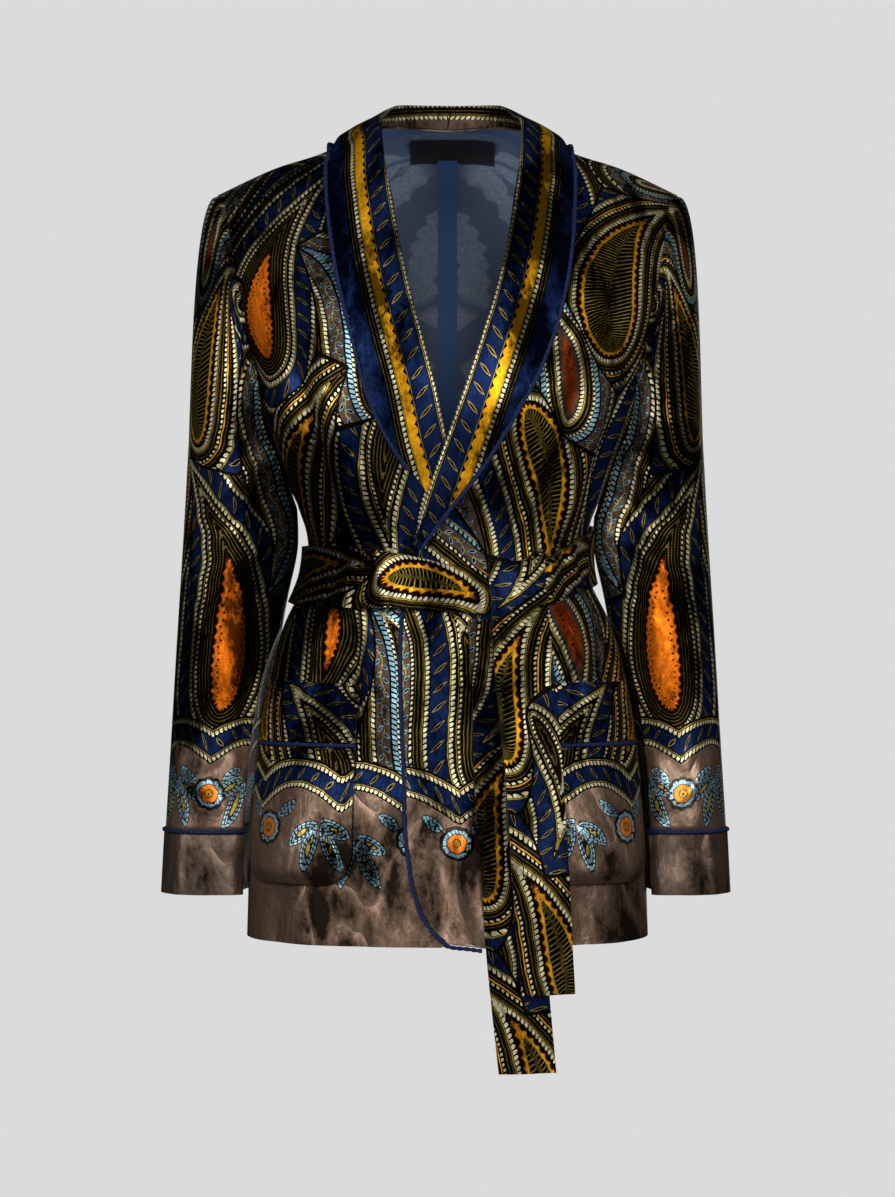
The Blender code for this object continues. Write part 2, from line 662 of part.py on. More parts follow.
def make_sleeves():
    for name, side, inward in (("left", 1, LEFT_SLEEVE_IN), ("right", -1, 0.0)):
        tube(f"sleeve_{name}", sleeve_grid(inward), side, VELVET, "printed_velvet")
        levels = np.linspace(CUFF_SEAM - CORD_SLOT, CUFF_BOTTOM, 4)
        cuff = np.array([sleeve_ring(z, inward, CUFF_STEP) for z in levels])
        tube(f"cuff_{name}", cuff, side, VELVET, "brown_velvet")
        piping = sleeve_ring(CUFF_SEAM, inward, CUFF_STEP)
        cord(f"cuff_piping_{name}", piping if side > 0 else mirrored(piping), "navy_cord", closed=True)


# Collar

def collar_offset(x, z, on_left):
    """Distance from the body to the collar's outer face where it lies on a front."""
    return (lap(x, z) if on_left else 0.0) + COLLAR_GAP + COLLAR_CLOTH


def nearest(point):
    """Turn and distance up of the bare body's place closest to a point near the neck."""
    x, y, z = point
    up = min(up_of(x, z), RIDGE - 0.03)
    turn = turn_of(x, up, 1 if y < 0 else -1)
    step = 1e-4
    for _ in range(12):
        here = bare_body(turn, up)
        sideways = (bare_body(turn + step, up) - here) / step
        upwards = (here - bare_body(turn, up - step)) / step
        share = np.linalg.lstsq(np.stack([sideways, upwards], axis=1), point - here, rcond=None)[0]
        turn += float(np.clip(share[0], -0.1, 0.1))
        up = float(np.clip(up + np.clip(share[1], -0.01, 0.01), step, RIDGE))
    return turn, up


def laid_on(point, off):
    """The body's place closest to a point, moved out by off."""
    return body(*nearest(point), off)


def kept_outside(point, off):
    """The point itself, or the place on the body if the point would be inside it."""
    turn, up = nearest(point)
    rest = body(turn, up, off)
    return rest if (point - rest).dot(body_normal(turn, up)) < 0 else point


def stand_base(row_index, on_left):
    """Where the stand meets the neck, for the rows that stand round it."""
    side = 1 if on_left else -1
    rest = row_index - (len(COLLAR) - NECK_ROWS)
    if rest == 0:
        return on_body(side * STAND_FRONT[0], STAND_FRONT[1], LAYER_GAP)
    if rest == 1:
        up = RIDGE - SEAM_GAP
        return body(turn_of(side * NECK_HALF_WIDTH, up), up, LAYER_GAP)
    x = STAND_BACK[rest - 2]
    up = neck_up(x)
    return body(turn_of(side * x, up, -1), up, LAYER_GAP)


def collar_lines(on_left):
    """Stand base, roll and edge of one collar half, with the share that lies on the chest, row by row."""
    rows = []
    for k, row in enumerate(COLLAR):
        side = 1 if on_left else -1
        roll_x = side * (row.left_roll if on_left else row.right_roll)
        edge_x = side * (row.left_edge if on_left else row.right_edge)
        edge_off = float(collar_offset(edge_x, row.edge_z, on_left))
        edge = on_body(edge_x, row.edge_z, edge_off, row.facing)
        if row.roll_y is not None:
            roll = np.array([roll_x, row.roll_y, row.roll_z])
            base = stand_base(k, on_left)
        else:
            off = float(collar_offset(roll_x, row.roll_z, on_left)) + row.stand
            roll = on_body(roll_x, row.roll_z, off)
            base = on_body(roll_x, row.roll_z, off - COLLAR_LIP - row.stand)
        if k == len(COLLAR) - NECK_ROWS:
            base = stand_base(k, on_left)
        rows.append(np.concatenate([base, roll, edge, [row.chest]]))
    return np.array(rows)


def collar_section(base, roll, edge, chest, on_left):
    """Points of one section, from the stand over the roll and down the fall to the edge."""
    down = edge - roll
    outward = np.cross(down, np.cross((0.0, 0.0, 1.0), down))
    outward /= np.linalg.norm(outward)

    def fall(t):
        point = roll + down * t + outward * FALL_BULGE * 4 * t * (1 - t) * (1 - chest)
        off = chest * float(collar_offset(point[0], point[2], on_left)) + (1 - chest) * NECK_OFF
        return laid_on(point, off) if t == 1.0 else kept_outside(point, off)

    up = roll - base
    start = roll - up * min(0.45, COLLAR_ROLL / np.linalg.norm(up))
    turned = fall(min(0.22, COLLAR_ROLL / np.linalg.norm(edge - roll)))
    top = (start + 2 * roll + turned) / 4
    return np.array([base, (base + start) / 2, start, top, turned] + [fall(t) for t in FALL_SHARES])


def collar_grid(on_left):
    """One collar half: a row for each station from its lower end to the back of the neck."""
    lines = collar_lines(on_left)
    steps = np.linalg.norm(np.diff(lines[:, 3:6], axis=0), axis=1)
    along = np.concatenate([[0], np.cumsum(steps)])
    at = smooth_rows(lines, along)
    first = 0.0 if on_left else float(np.interp(RIGHT_COLLAR_END, lines[:9, 5], along[:9]))
    grid = []
    on_neck = along[-NECK_ROWS]
    stations = np.concatenate([
        np.linspace(first, on_neck, COLLAR_STATIONS - NECK_STATIONS, endpoint=False),
        np.linspace(on_neck, along[-1], NECK_STATIONS),
    ])
    for s in stations:
        values = at(s)
        chest = float(np.clip(values[9], 0, 1))
        grid.append(collar_section(values[:3], values[3:6], values[6:9], chest, on_left))
    grid = np.array(grid)
    return grid if on_left else grid[:, ::-1]


def make_collars():
    for name, on_left in (("left", True), ("right", False)):
        grid = collar_grid(on_left)
        side = 1 if on_left else -1
        grid[-1, :, 0] += side * SEAM_GAP
        normals = grid_normals(grid, False)
        normals[-1, :, 0] = 0.0
        wall(f"collar_{name}", grid, grid - normals * COLLAR_CLOTH, "printed_velvet")
        edge, before = (-1, -2) if on_left else (0, 1)
        line = np.array([
            piping_point(end, end - inward) for end, inward in zip(grid[:, edge], grid[:, before])
        ])
        if not on_left:
            line = line[line[:, 2] > RIGHT_PIPING_END]
        cord(f"collar_piping_{name}", line, "navy_cord")


def piping_point(end, out):
    """Where the collar's piping runs beside an end of a section, just past the edge."""
    outward = laid_on(end, NECK_OFF + 0.001) - laid_on(end, NECK_OFF)
    outward /= np.linalg.norm(outward)
    out = out - outward * out.dot(outward)
    return end + out / np.linalg.norm(out) * (CORD_RADIUS + 3 * LAYER_GAP) + outward * LAYER_GAP


def make_front_piping():
    """The cord along the left front's edge, from the collar's tip round the corner to the hem."""
    straight = np.linspace(-0.376, -0.640, 14)
    corner = BODY[0].height + 0.080 * np.linspace(0.9, 0.02, 13) ** 1.8
    heights = np.concatenate([straight, corner])
    line = []
    for z in heights:
        step = 0.0005
        slope = float(edge_at(z + step)[0] - edge_at(z - step)[0]) / (2 * step)
        out = np.array([-1.0, slope]) / math.hypot(1.0, slope)
        x = float(edge_at(z)[0]) + out[0] * (CORD_RADIUS + 3 * LAYER_GAP)
        low = z + out[1] * (CORD_RADIUS + 3 * LAYER_GAP)
        point = on_body(x, max(low, BODY[0].height), float(lap(x, low)) - VELVET / 2)
        line.append((point[0], point[1], low))
    cord("front_piping_left", np.array(line), "navy_cord")


# Pockets

def pocket_off(across, down):
    """How far a pocket's outer face stands off the body; across and down run from 0 to 1."""
    puff = POCKET_PUFF * np.sin(np.pi * across) ** 0.6 * (0.35 + 0.65 * np.sin(np.pi * down) ** 0.8)
    return POCKET_GAP + VELVET + puff


def pocket_grid(heights, side):
    """Points of a pocket's outer and inner faces between its rounded lower corners and its top."""
    across = np.linspace(0, 1, POCKET_COLUMNS)
    outer = []
    inner = []
    for z in heights:
        up = up_of(0.0, z)
        above = min(z - POCKET_BOTTOM, POCKET_CORNER)
        inset = POCKET_CORNER - math.sqrt(POCKET_CORNER**2 - (POCKET_CORNER - above) ** 2)
        reach = float(BODY_AT(up)[3]) * 1.30
        low = POCKET_INNER_TURN + inset / reach
        high = POCKET_OUTER_TURN - inset / reach
        turns = side * (low + (high - low) * across)
        down = (POCKET_TOP - z) / (POCKET_TOP - POCKET_BOTTOM)
        off = pocket_off(across, down)
        outer.append(body(turns, up, off))
        inner.append(body(turns, up, off - VELVET))
    return np.array(outer), np.array(inner)


def make_pockets():
    corner = POCKET_BOTTOM + POCKET_CORNER * (1 - np.cos(np.linspace(0.30, math.pi / 2, 4)))
    bag = np.concatenate([corner, np.linspace(corner[-1], POCKET_SEAM - CORD_SLOT, 7)[1:]])
    band = np.linspace(POCKET_SEAM + CORD_SLOT, POCKET_TOP, 4)
    for name, side in (("left", 1), ("right", -1)):
        wall(f"pocket_{name}", *pocket_grid(bag, side), "printed_velvet")
        wall(f"pocket_band_{name}", *pocket_grid(band, side), "printed_velvet")
        across = np.linspace(0, 1, 13)
        down = (POCKET_TOP - POCKET_SEAM) / (POCKET_TOP - POCKET_BOTTOM)
        turns = side * (POCKET_INNER_TURN + (POCKET_OUTER_TURN - POCKET_INNER_TURN) * across)
        off = np.maximum(pocket_off(across, down), CORD_RADIUS + 2 * LAYER_GAP)
        cord(f"pocket_piping_{name}", body(turns, up_of(0.0, POCKET_SEAM), off), "navy_cord")


# Belt

def belt_off(x, facing_front):
    """How far the belt's inner face stands off the body; it rides over the lap and the second end."""
    over = ease(x, -0.078, -0.046) * ease(x, 0.125, 0.088)
    return BELT_GAP + np.where(facing_front, BELT_LIFT * over, 0.0)


def belt_grid():
    """The belt's inner face from the knot round the back to the knot again."""
    left = np.linspace(BELT_SPAN[0], 90, 7)
    behind = np.linspace(90, 270, 13)[1:]
    right = np.linspace(270, BELT_SPAN[1], 17)[1:]
    turns = np.radians(np.concatenate([left, behind, right]))
    grid = []
    for share in (-1.0, -0.5, 0.0, 0.5, 1.0):
        height, half = belt_level(turns)
        ups = np.array([up_of(0.0, z) for z in height + share * half])
        x = bare_body(turns, ups)[..., 0]
        crease = BELT_CREASE * np.exp(-(((np.degrees(turns) - 325) / 4.0) ** 2))
        roll = 0.0012 * (1 - share**2)
        grid.append(body(turns, ups, belt_off(x, np.cos(turns) > 0) + crease + roll))
    return np.array(grid)


def outward_wall(name, under, finish_name, thickness):
    """A sheet built outwards from its under side."""
    wall(name, under + grid_normals(under, False) * thickness, under, finish_name)


def hung(x, z, off):
    """A point in front of the body, hanging straight down below the hem."""
    up = up_of(x, max(z, BODY[0].height + 0.005))
    turn = turn_of(x, up)
    lean = min(TAIL_LEAN, 1 / max(abs(body_normal(turn, up)[1]), 0.1))
    return np.array([x, body(turn, up)[1] - off * lean, z])


def tail_grid(table, top, bottom, rows):
    """The under side of a hanging belt end."""
    at = smooth_rows([row[1:] for row in table], [-row.height for row in table])
    grid = []
    for z in np.linspace(bottom, top, rows):
        left, right, off = at(-z)
        across = np.linspace(0, 1, 5)
        bow = 0.0012 * np.sin(2 * np.pi * across + 9 * z) * ease(z, top, top - 0.08)
        grid.append([hung(left + (right - left) * t, z, off + b) for t, b in zip(across, bow)])
    return np.array(grid)


def make_belt():
    outward_wall("belt", belt_grid(), "printed_velvet", DOUBLE_VELVET)
    back_tail = tail_grid(BACK_TAIL, BACK_TAIL[0].height, BACK_TAIL[-1].height, 18)
    outward_wall("belt_tail_back", back_tail, "printed_velvet", DOUBLE_VELVET)
    tail = tail_grid(FRONT_TAIL, FRONT_TAIL[0].height, FRONT_TAIL[-1].height, 16)
    over = []
    for rise, beyond in KNOT_ROLL:
        row = []
        for t in np.linspace(0, 1, 5):
            x = FRONT_TAIL[0].left - 0.002 + (FRONT_TAIL[0].right - FRONT_TAIL[0].left) * t
            height, half = belt_level(turn_of(x, up_of(x, KNOT_LEVEL)))
            row.append(hung(x, float(height + half) + rise, float(belt_off(x, True)) + beyond))
        over.append(row)
    outward_wall("belt_tail_front", np.concatenate([tail, over]), "printed_velvet", DOUBLE_VELVET)


# Inside the back neck

def make_lining():
    """Lining, seam tape and label behind the neck; the lining takes the points of the two back halves."""
    turns, ups = back_grid()
    shown = (bare_body(turns, ups)[:, -1, 2] > LINING_BOTTOM) & (ups[:, -1] <= neck_up(0.0) + SEAM_GAP)
    half_turns = turns[shown][:, -LINING_COLUMNS:]
    half_ups = ups[shown][:, -LINING_COLUMNS:]
    half_turns[:, -1] = math.pi
    turns = np.concatenate([half_turns, 2 * math.pi - half_turns[:, -2::-1]], axis=1)
    ups = np.concatenate([half_ups, half_ups[:, -2::-1]], axis=1)
    ups[-1] -= 0.0015
    off = -VELVET - LINING_GAP
    inner = body(turns, ups, off - LINING_CLOTH)
    wall("back_lining", body(turns, ups, off), inner, "navy_lining")
    last = len(inner) - 1
    tape = Strip(TAPE_HALF_WIDTH, 0.0, np.append(np.arange(last - 1), last - LABEL_DROP - 0.08), 3)
    inside_strip("back_seam_tape", inner, tape, "navy_velvet")
    label = Strip(LABEL_HALF_WIDTH, LABEL_CENTRE, np.array([last - LABEL_DROP, last - 1, last - 0.12]), 7)
    inside_strip("neck_label", inner, label, "black_label")


def inside_strip(name, lining, strip, finish_name):
    """A strip that follows the inner face of the lining."""
    normals = grid_normals(lining, False)
    grid = []
    for level in strip.levels:
        k = min(int(level), len(lining) - 2)
        t = level - k
        direction = normals[k] * (1 - t) + normals[k + 1] * t
        row = lining[k] * (1 - t) + lining[k + 1] * t - direction * LAYER_GAP
        xs = strip.centre + np.linspace(strip.half_width, -strip.half_width, strip.columns)
        grid.append([[np.interp(x, row[::-1, 0], row[::-1, c]) for c in range(3)] for x in xs])
    grid = np.array(grid)
    wall(name, grid, grid - grid_normals(grid, False) * LINING_CLOTH, finish_name)


def main():
    for old in list(bpy.data.objects):
        bpy.data.objects.remove(old)
    make_fronts()
    make_backs()
    make_sleeves()
    make_collars()
    make_front_piping()
    make_pockets()
    make_belt()
    make_lining()


main()
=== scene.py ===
"""Looks of the belted velvet jacket: its cloth, cords and print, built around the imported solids.

Metres, +Z up. The front faces -Y and the wearer's left is +X. Every cloth piece is a thin closed
shell on the form of its solid, with the smaller creases added. The print is drawn in the cloth's
flat cut from the distances to its motifs, which the corners of the faces carry.
"""

import math
from collections import namedtuple

import bpy
import numpy as np
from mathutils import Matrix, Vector


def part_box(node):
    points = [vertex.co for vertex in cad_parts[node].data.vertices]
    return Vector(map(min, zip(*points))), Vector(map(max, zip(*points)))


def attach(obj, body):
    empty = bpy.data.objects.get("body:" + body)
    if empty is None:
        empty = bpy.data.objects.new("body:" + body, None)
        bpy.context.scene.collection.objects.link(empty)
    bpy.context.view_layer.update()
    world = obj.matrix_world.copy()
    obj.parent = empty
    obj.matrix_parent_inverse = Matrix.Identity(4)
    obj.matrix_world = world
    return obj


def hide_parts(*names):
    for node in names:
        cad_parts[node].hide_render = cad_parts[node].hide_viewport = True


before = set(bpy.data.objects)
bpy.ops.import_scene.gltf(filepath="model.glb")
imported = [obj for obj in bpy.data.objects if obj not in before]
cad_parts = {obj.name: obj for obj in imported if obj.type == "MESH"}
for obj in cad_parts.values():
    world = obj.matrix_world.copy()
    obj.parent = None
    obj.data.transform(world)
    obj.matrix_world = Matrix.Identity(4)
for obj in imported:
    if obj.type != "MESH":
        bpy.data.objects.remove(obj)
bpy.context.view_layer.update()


def table(kind, *rows):
    """Rows of one kind."""
    return tuple(kind(*row) for row in rows)


# Cloth and seams
SPACING = 0.0034
PANEL_COLUMNS = round(0.24 / SPACING)
HEM_ROWS = 18
HEM_ROW_GROWTH = 1.6
SHARP_EDGE = math.radians(55)
VELVET = 0.0018
DOUBLE_VELVET = 0.0030
COLLAR_CLOTH = 0.0026
LINING_CLOTH = 0.0010
SEAM_GAP = 0.0003
CLOSED_SEAM = 0.00003
LEAST_DEPTH = 0.03
LAYER_GAP = 0.0006
ARMHOLE_GAP = 0.0010

# The body: one row for each level from the hem to the ridge of the shoulders.
# height is on the centre line, fall is the share of the shoulder slope that the row takes,
# bite is the share of the half width that the armhole cuts away.
BodyRow = namedtuple("BodyRow", "height fall half_width front back bite")
BODY = table(
    BodyRow,
    (-0.7130, 0.00, 0.1800, 0.128, 0.132, 0.000),
    (-0.6500, 0.00, 0.1780, 0.127, 0.132, 0.000),
    (-0.5800, 0.00, 0.1740, 0.124, 0.129, 0.000),
    (-0.5050, 0.00, 0.1645, 0.118, 0.118, 0.000),
    (-0.4350, 0.00, 0.1465, 0.109, 0.101, 0.000),
    (-0.3900, 0.00, 0.1265, 0.103, 0.093, 0.000),
    (-0.3500, 0.00, 0.1270, 0.106, 0.092, 0.000),
    (-0.3000, 0.00, 0.1480, 0.117, 0.100, 0.000),
    (-0.2550, 0.00, 0.1665, 0.128, 0.107, 0.000),
    (-0.2150, 0.00, 0.1750, 0.132, 0.111, 0.000),
    (-0.1500, 0.25, 0.1940, 0.124, 0.115, 0.078),
    (-0.0850, 0.55, 0.2030, 0.104, 0.113, 0.072),
    (-0.0350, 0.82, 0.2060, 0.078, 0.102, 0.060),
    (0.0040, 0.95, 0.2070, 0.047, 0.081, 0.042),
    (0.0195, 0.99, 0.2070, 0.024, 0.052, 0.018),
    (0.0245, 1.00, 0.2070, 0.000, 0.000, 0.000),
)
HEM = BODY[0].height
ARMPIT_ROW = 9
ROUNDNESS = 2.3
# How far the shoulder ridge has dropped at each distance from the centre line.
ShoulderDrop = namedtuple("ShoulderDrop", "out drop")
SHOULDER = table(
    ShoulderDrop,
    (0.000, 0.0000),
    (0.030, 0.0010),
    (0.050, 0.0045),
    (0.068, 0.0130),
    (0.108, 0.0345),
    (0.156, 0.0505),
    (0.207, 0.0738),
)
# Steps for slopes on the body, and for finding its place nearest to a point near the neck: distance from
# the ridge to start at, tries, and the largest turn and move of a try.
SMALL_STEP = 1e-4
NEAREST_START = 0.03
NEAREST_TRIES = 12
NEAREST_TURN = 0.1
NEAREST_MOVE = 0.01
NECK_HALF_WIDTH = 0.068
NECK_BACK_DEPTH = 0.058
HEM_CORNER = -0.672

# Folds of the body: a ridge (height above 0) or a trough from one place to another,
# seen from the front (facing 1) or from behind (facing -1). The first ones are in the solids too.
Fold = namedtuple("Fold", "facing x0 z0 x1 z1 width height")
BODY_FOLDS = table(
    Fold,
    (1, -0.152, -0.215, -0.110, -0.372, 0.011, 0.0055),
    (1, -0.134, -0.200, -0.092, -0.372, 0.010, -0.0050),
    (1, -0.116, -0.190, -0.076, -0.372, 0.012, 0.0045),
    (1, 0.138, -0.225, 0.104, -0.362, 0.010, 0.0055),
    (1, 0.118, -0.200, 0.084, -0.362, 0.009, -0.0040),
    (1, -0.083, -0.425, -0.079, -0.500, 0.008, -0.0050),
    (1, -0.062, -0.430, -0.052, -0.560, 0.014, 0.0035),
    (1, 0.112, -0.425, 0.120, -0.520, 0.012, 0.0040),
    (-1, -0.070, -0.240, -0.046, -0.365, 0.012, 0.0050),
    (-1, 0.064, -0.230, 0.040, -0.365, 0.012, 0.0050),
    (-1, -0.050, -0.420, -0.078, -0.560, 0.014, 0.0050),
    (-1, 0.052, -0.420, 0.084, -0.570, 0.014, 0.0050),
)
BODY_CREASES = table(
    Fold,
    (1, -0.176, -0.200, -0.128, -0.345, 0.0080, -0.0040),
    (1, -0.166, -0.235, -0.122, -0.345, 0.0055, 0.0032),
    (1, -0.133, -0.215, -0.094, -0.360, 0.0055, -0.0034),
    (1, -0.098, -0.240, -0.064, -0.352, 0.0060, 0.0030),
    (1, -0.084, -0.255, -0.054, -0.352, 0.0050, -0.0026),
    (1, -0.072, -0.275, -0.044, -0.354, 0.0050, 0.0022),
    (1, 0.160, -0.225, 0.122, -0.345, 0.0060, 0.0034),
    (1, 0.147, -0.235, 0.110, -0.350, 0.0050, -0.0030),
    (1, 0.096, -0.245, 0.066, -0.350, 0.0060, 0.0028),
    (1, 0.082, -0.265, 0.056, -0.352, 0.0050, -0.0024),
    (1, -0.160, -0.130, -0.128, -0.225, 0.0120, -0.0034),
    (1, -0.128, -0.090, -0.104, -0.200, 0.0130, 0.0026),
    (1, 0.162, -0.120, 0.134, -0.220, 0.0110, -0.0032),
    (1, 0.130, -0.095, 0.112, -0.195, 0.0130, 0.0024),
    (1, -0.083, -0.420, -0.080, -0.500, 0.0036, -0.0060),
    (1, -0.108, -0.430, -0.120, -0.505, 0.0060, 0.0034),
    (1, -0.032, -0.432, -0.026, -0.520, 0.0070, 0.0022),
    (1, 0.024, -0.432, 0.030, -0.500, 0.0060, 0.0022),
    (1, 0.094, -0.432, 0.100, -0.490, 0.0060, 0.0030),
    (1, 0.128, -0.430, 0.140, -0.500, 0.0070, -0.0028),
    (1, -0.124, -0.664, -0.120, -0.722, 0.0140, 0.0034),
    (1, -0.150, -0.650, -0.152, -0.722, 0.0090, -0.0030),
    (1, -0.080, -0.672, -0.076, -0.722, 0.0100, -0.0026),
    (1, 0.112, -0.664, 0.115, -0.722, 0.0110, -0.0028),
    (1, 0.142, -0.664, 0.145, -0.722, 0.0140, 0.0034),
    (-1, -0.104, -0.250, -0.080, -0.350, 0.0065, 0.0032),
    (-1, -0.090, -0.270, -0.066, -0.352, 0.0055, -0.0026),
    (-1, 0.098, -0.245, 0.072, -0.345, 0.0065, 0.0030),
    (-1, 0.084, -0.265, 0.060, -0.350, 0.0055, -0.0024),
    (-1, -0.020, -0.280, -0.014, -0.352, 0.0060, 0.0022),
    (-1, 0.016, -0.430, 0.022, -0.510, 0.0070, 0.0024),
    (-1, -0.108, -0.430, -0.122, -0.510, 0.0070, 0.0032),
    (-1, 0.110, -0.432, 0.124, -0.505, 0.0065, 0.0030),
    (-1, -0.156, -0.110, -0.120, -0.210, 0.0120, -0.0032),
    (-1, 0.150, -0.115, 0.118, -0.215, 0.0115, -0.0032),
    (-1, 0.100, -0.650, 0.106, -0.722, 0.0150, 0.0034),
    (-1, 0.050, -0.660, 0.046, -0.722, 0.0120, -0.0026),
    (-1, -0.090, -0.655, -0.098, -0.722, 0.0160, 0.0034),
    (-1, -0.034, -0.664, -0.038, -0.722, 0.0120, -0.0024),
)
# Folds that only the upper front has, where it laps over the lower one.
LAP_FOLDS = table(
    Fold,
    (1, 0.004, -0.590, 0.040, -0.735, 0.010, 0.0062),
    (1, -0.022, -0.600, 0.002, -0.735, 0.008, 0.0042),
    (1, 0.022, -0.620, 0.060, -0.735, 0.006, 0.0040),
    (1, -0.008, -0.610, 0.022, -0.735, 0.005, -0.0030),
)
BELT_PRESS = 0.042
# Where folds fade in and out, as shares of their length, and the depth over which they fade round the side.
FOLD_START = (-0.15, 0.35)
FOLD_END = (1.12, 0.80)
FOLD_FACING = 0.03

# Where the fronts end: the distance of each edge from the centre line, counted towards its own side.
EdgePoint = namedtuple("EdgePoint", "height left right")
FRONT_EDGES = table(
    EdgePoint,
    (-0.7130, 0.0300, 0.0060),
    (-0.7115, 0.0140, 0.0000),
    (-0.7045, -0.0030, -0.0070),
    (-0.6920, -0.0150, -0.0120),
    (-0.6660, -0.0260, -0.0180),
    (-0.6300, -0.0325, -0.0215),
    (-0.5600, -0.0355, -0.0240),
    (-0.4350, -0.0375, -0.0270),
    (-0.3660, -0.0290, -0.0250),
    (-0.3350, -0.0215, -0.0170),
    (-0.3020, -0.0115, -0.0080),
    (-0.2700, 0.0000, 0.0015),
    (-0.2340, 0.0130, 0.0090),
    (-0.1900, 0.0280, 0.0205),
    (-0.1450, 0.0420, 0.0325),
    (-0.1000, 0.0525, 0.0425),
    (-0.0550, 0.0600, 0.0525),
    (-0.0120, 0.0660, 0.0655),
    (0.0115, 0.0680, 0.0680),
)
EDGE_SETBACK = 0.0045
EDGE_SETBACK_LEVELS = (-0.386, -0.368)
EDGE_TRIES = 5
EDGE_STEP = 0.0005
LAP_LIFT = 0.0034
CROSSING_LIFT = 0.0042
CROSSING_LEVEL = -0.318
CROSSING_REACH = 0.062
LAP_FROM = 0.066
LAP_TO = 0.034

# The shawl collar from the tip up to the back of the neck: its roll line and its outer edge on the
# wearer's left and right, each as a distance from the centre line. stand is how far the roll is held
# off the body, and chest the share of the row that lies on it. Rows with a roll_y stand round the neck;
# facing says which side of the body the edge is on.
CollarRow = namedtuple(
    "CollarRow", "left_roll right_roll roll_y roll_z stand left_edge right_edge edge_z facing chest"
)
COLLAR = table(
    CollarRow,
    (-0.0290, -0.0280, None, -0.3640, 0.000, -0.0235, -0.0230, -0.3670, 1, 1.0),
    (-0.0215, -0.0170, None, -0.3350, 0.000, -0.0035, 0.0030, -0.3370, 1, 1.0),
    (-0.0115, -0.0080, None, -0.3020, 0.000, 0.0190, 0.0255, -0.3080, 1, 1.0),
    (0.0000, 0.0015, None, -0.2700, 0.000, 0.0425, 0.0490, -0.2730, 1, 1.0),
    (0.0130, 0.0090, None, -0.2340, 0.000, 0.0655, 0.0660, -0.2360, 1, 1.0),
    (0.0280, 0.0205, None, -0.1900, 0.000, 0.0850, 0.0775, -0.1940, 1, 1.0),
    (0.0420, 0.0325, None, -0.1450, 0.000, 0.0985, 0.0895, -0.1470, 1, 1.0),
    (0.0520, 0.0420, None, -0.1000, 0.001, 0.1060, 0.0980, -0.1000, 1, 1.0),
    (0.0590, 0.0495, None, -0.0550, 0.004, 0.1090, 0.1030, -0.0560, 1, 1.0),
    (0.0600, 0.0525, None, -0.0040, 0.010, 0.1090, 0.1035, -0.0280, 1, 0.5),
    (0.0560, 0.0530, 0.006, 0.0265, 0.000, 0.1070, 0.1020, -0.0130, 1, 0.0),
    (0.0455, 0.0440, 0.043, 0.0395, 0.000, 0.0870, 0.0830, -0.0120, -1, 0.0),
    (0.0270, 0.0225, 0.061, 0.0425, 0.000, 0.0490, 0.0430, -0.0225, -1, 0.0),
    (0.0040, -0.0040, 0.066, 0.0430, 0.000, 0.0040, -0.0040, -0.0300, -1, 0.0),
)
# Where the collar's stand meets the neck on the last rows of the table.
STAND_FRONT = (0.0660, -0.0120)
STAND_BACK = (0.0500, 0.0270, SEAM_GAP)
RIGHT_COLLAR_END = -0.338
RIGHT_PIPING_END = -0.314
COLLAR_GAP = 0.0013
COLLAR_LIP = 0.0055
COLLAR_ROLL = 0.0040
COLLAR_STATIONS = 29
NECK_STATIONS = 13
NECK_ROWS = 5
NECK_START = len(COLLAR) - NECK_ROWS
NECK_OFF = 0.0050
FALL_SHARES = (0.36, 0.60, 0.82, 1.0)
FALL_BULGE = 0.005
ROLL_COLUMN = 3
# The roll takes at most these shares of the stand and of the fall.
STAND_ROLL = 0.45
FALL_ROLL = 0.22
COLLAR_ROWS = 210
COLLAR_COLUMNS = 40
STAND_COLUMNS = 12
# The cord down the left front: where its straight part starts and ends, and the corner's height and rows.
PIPING_TOP = -0.376
PIPING_CORNER = -0.640
PIPING_CORNER_HEIGHT = 0.080
PIPING_CORNER_SHARES = (0.9, 0.02)
PIPING_CORNER_GROWTH = 1.8
PIPING_ROWS = 40

# Sleeve rings below the armhole: height, centre and half sizes.
SleeveRing = namedtuple("SleeveRing", "height x y half_width half_depth")
SLEEVE = table(
    SleeveRing,
    (-0.270, 0.1900, 0.012, 0.0435, 0.0680),
    (-0.360, 0.1890, 0.016, 0.0500, 0.0580),
    (-0.450, 0.1975, 0.014, 0.0470, 0.0540),
    (-0.540, 0.2030, 0.010, 0.0465, 0.0500),
    (-0.619, 0.2080, 0.006, 0.0460, 0.0470),
    (-0.678, 0.2110, 0.004, 0.0460, 0.0460),
)
SLEEVE_SIDES = 96
SLEEVE_GIRTH_RADIUS = 0.050
LEFT_SLEEVE_IN = 0.003
# The cap from the armhole down to the first ring: how it leaves the one and reaches the other.
CAP_ROWS = round(0.20 / SPACING)
CAP_OUT = 0.045
CAP_OUT_LOW = 0.012
CAP_FORWARD = 0.022
CAP_FALL_LOW = 0.045
CAP_FALL_SIDE = 0.030
CAP_DROP = 0.05
CAP_CLEAR_RATE = 2.5
RING_OUT = 0.008
RING_FALL = 1.15
CUFF_SEAM = -0.6195
CUFF_BOTTOM = -0.6755
CORD_SLOT = 0.0026
CUFF_STEP = 0.0012
# The sleeve's turning inside its cuff, from its lower end up: height from the cuff's seam, and distance in.
CUFF_TURNING = ((-0.0065, 0.0036), (-0.0005, 0.0030))
# How far a sleeve keeps from the body, above and below the levels where that changes.
ARM_CLEAR_HIGH = 0.0016
ARM_CLEAR_LOW = 0.0075
ARM_CLEAR_LEVELS = (-0.42, -0.50)
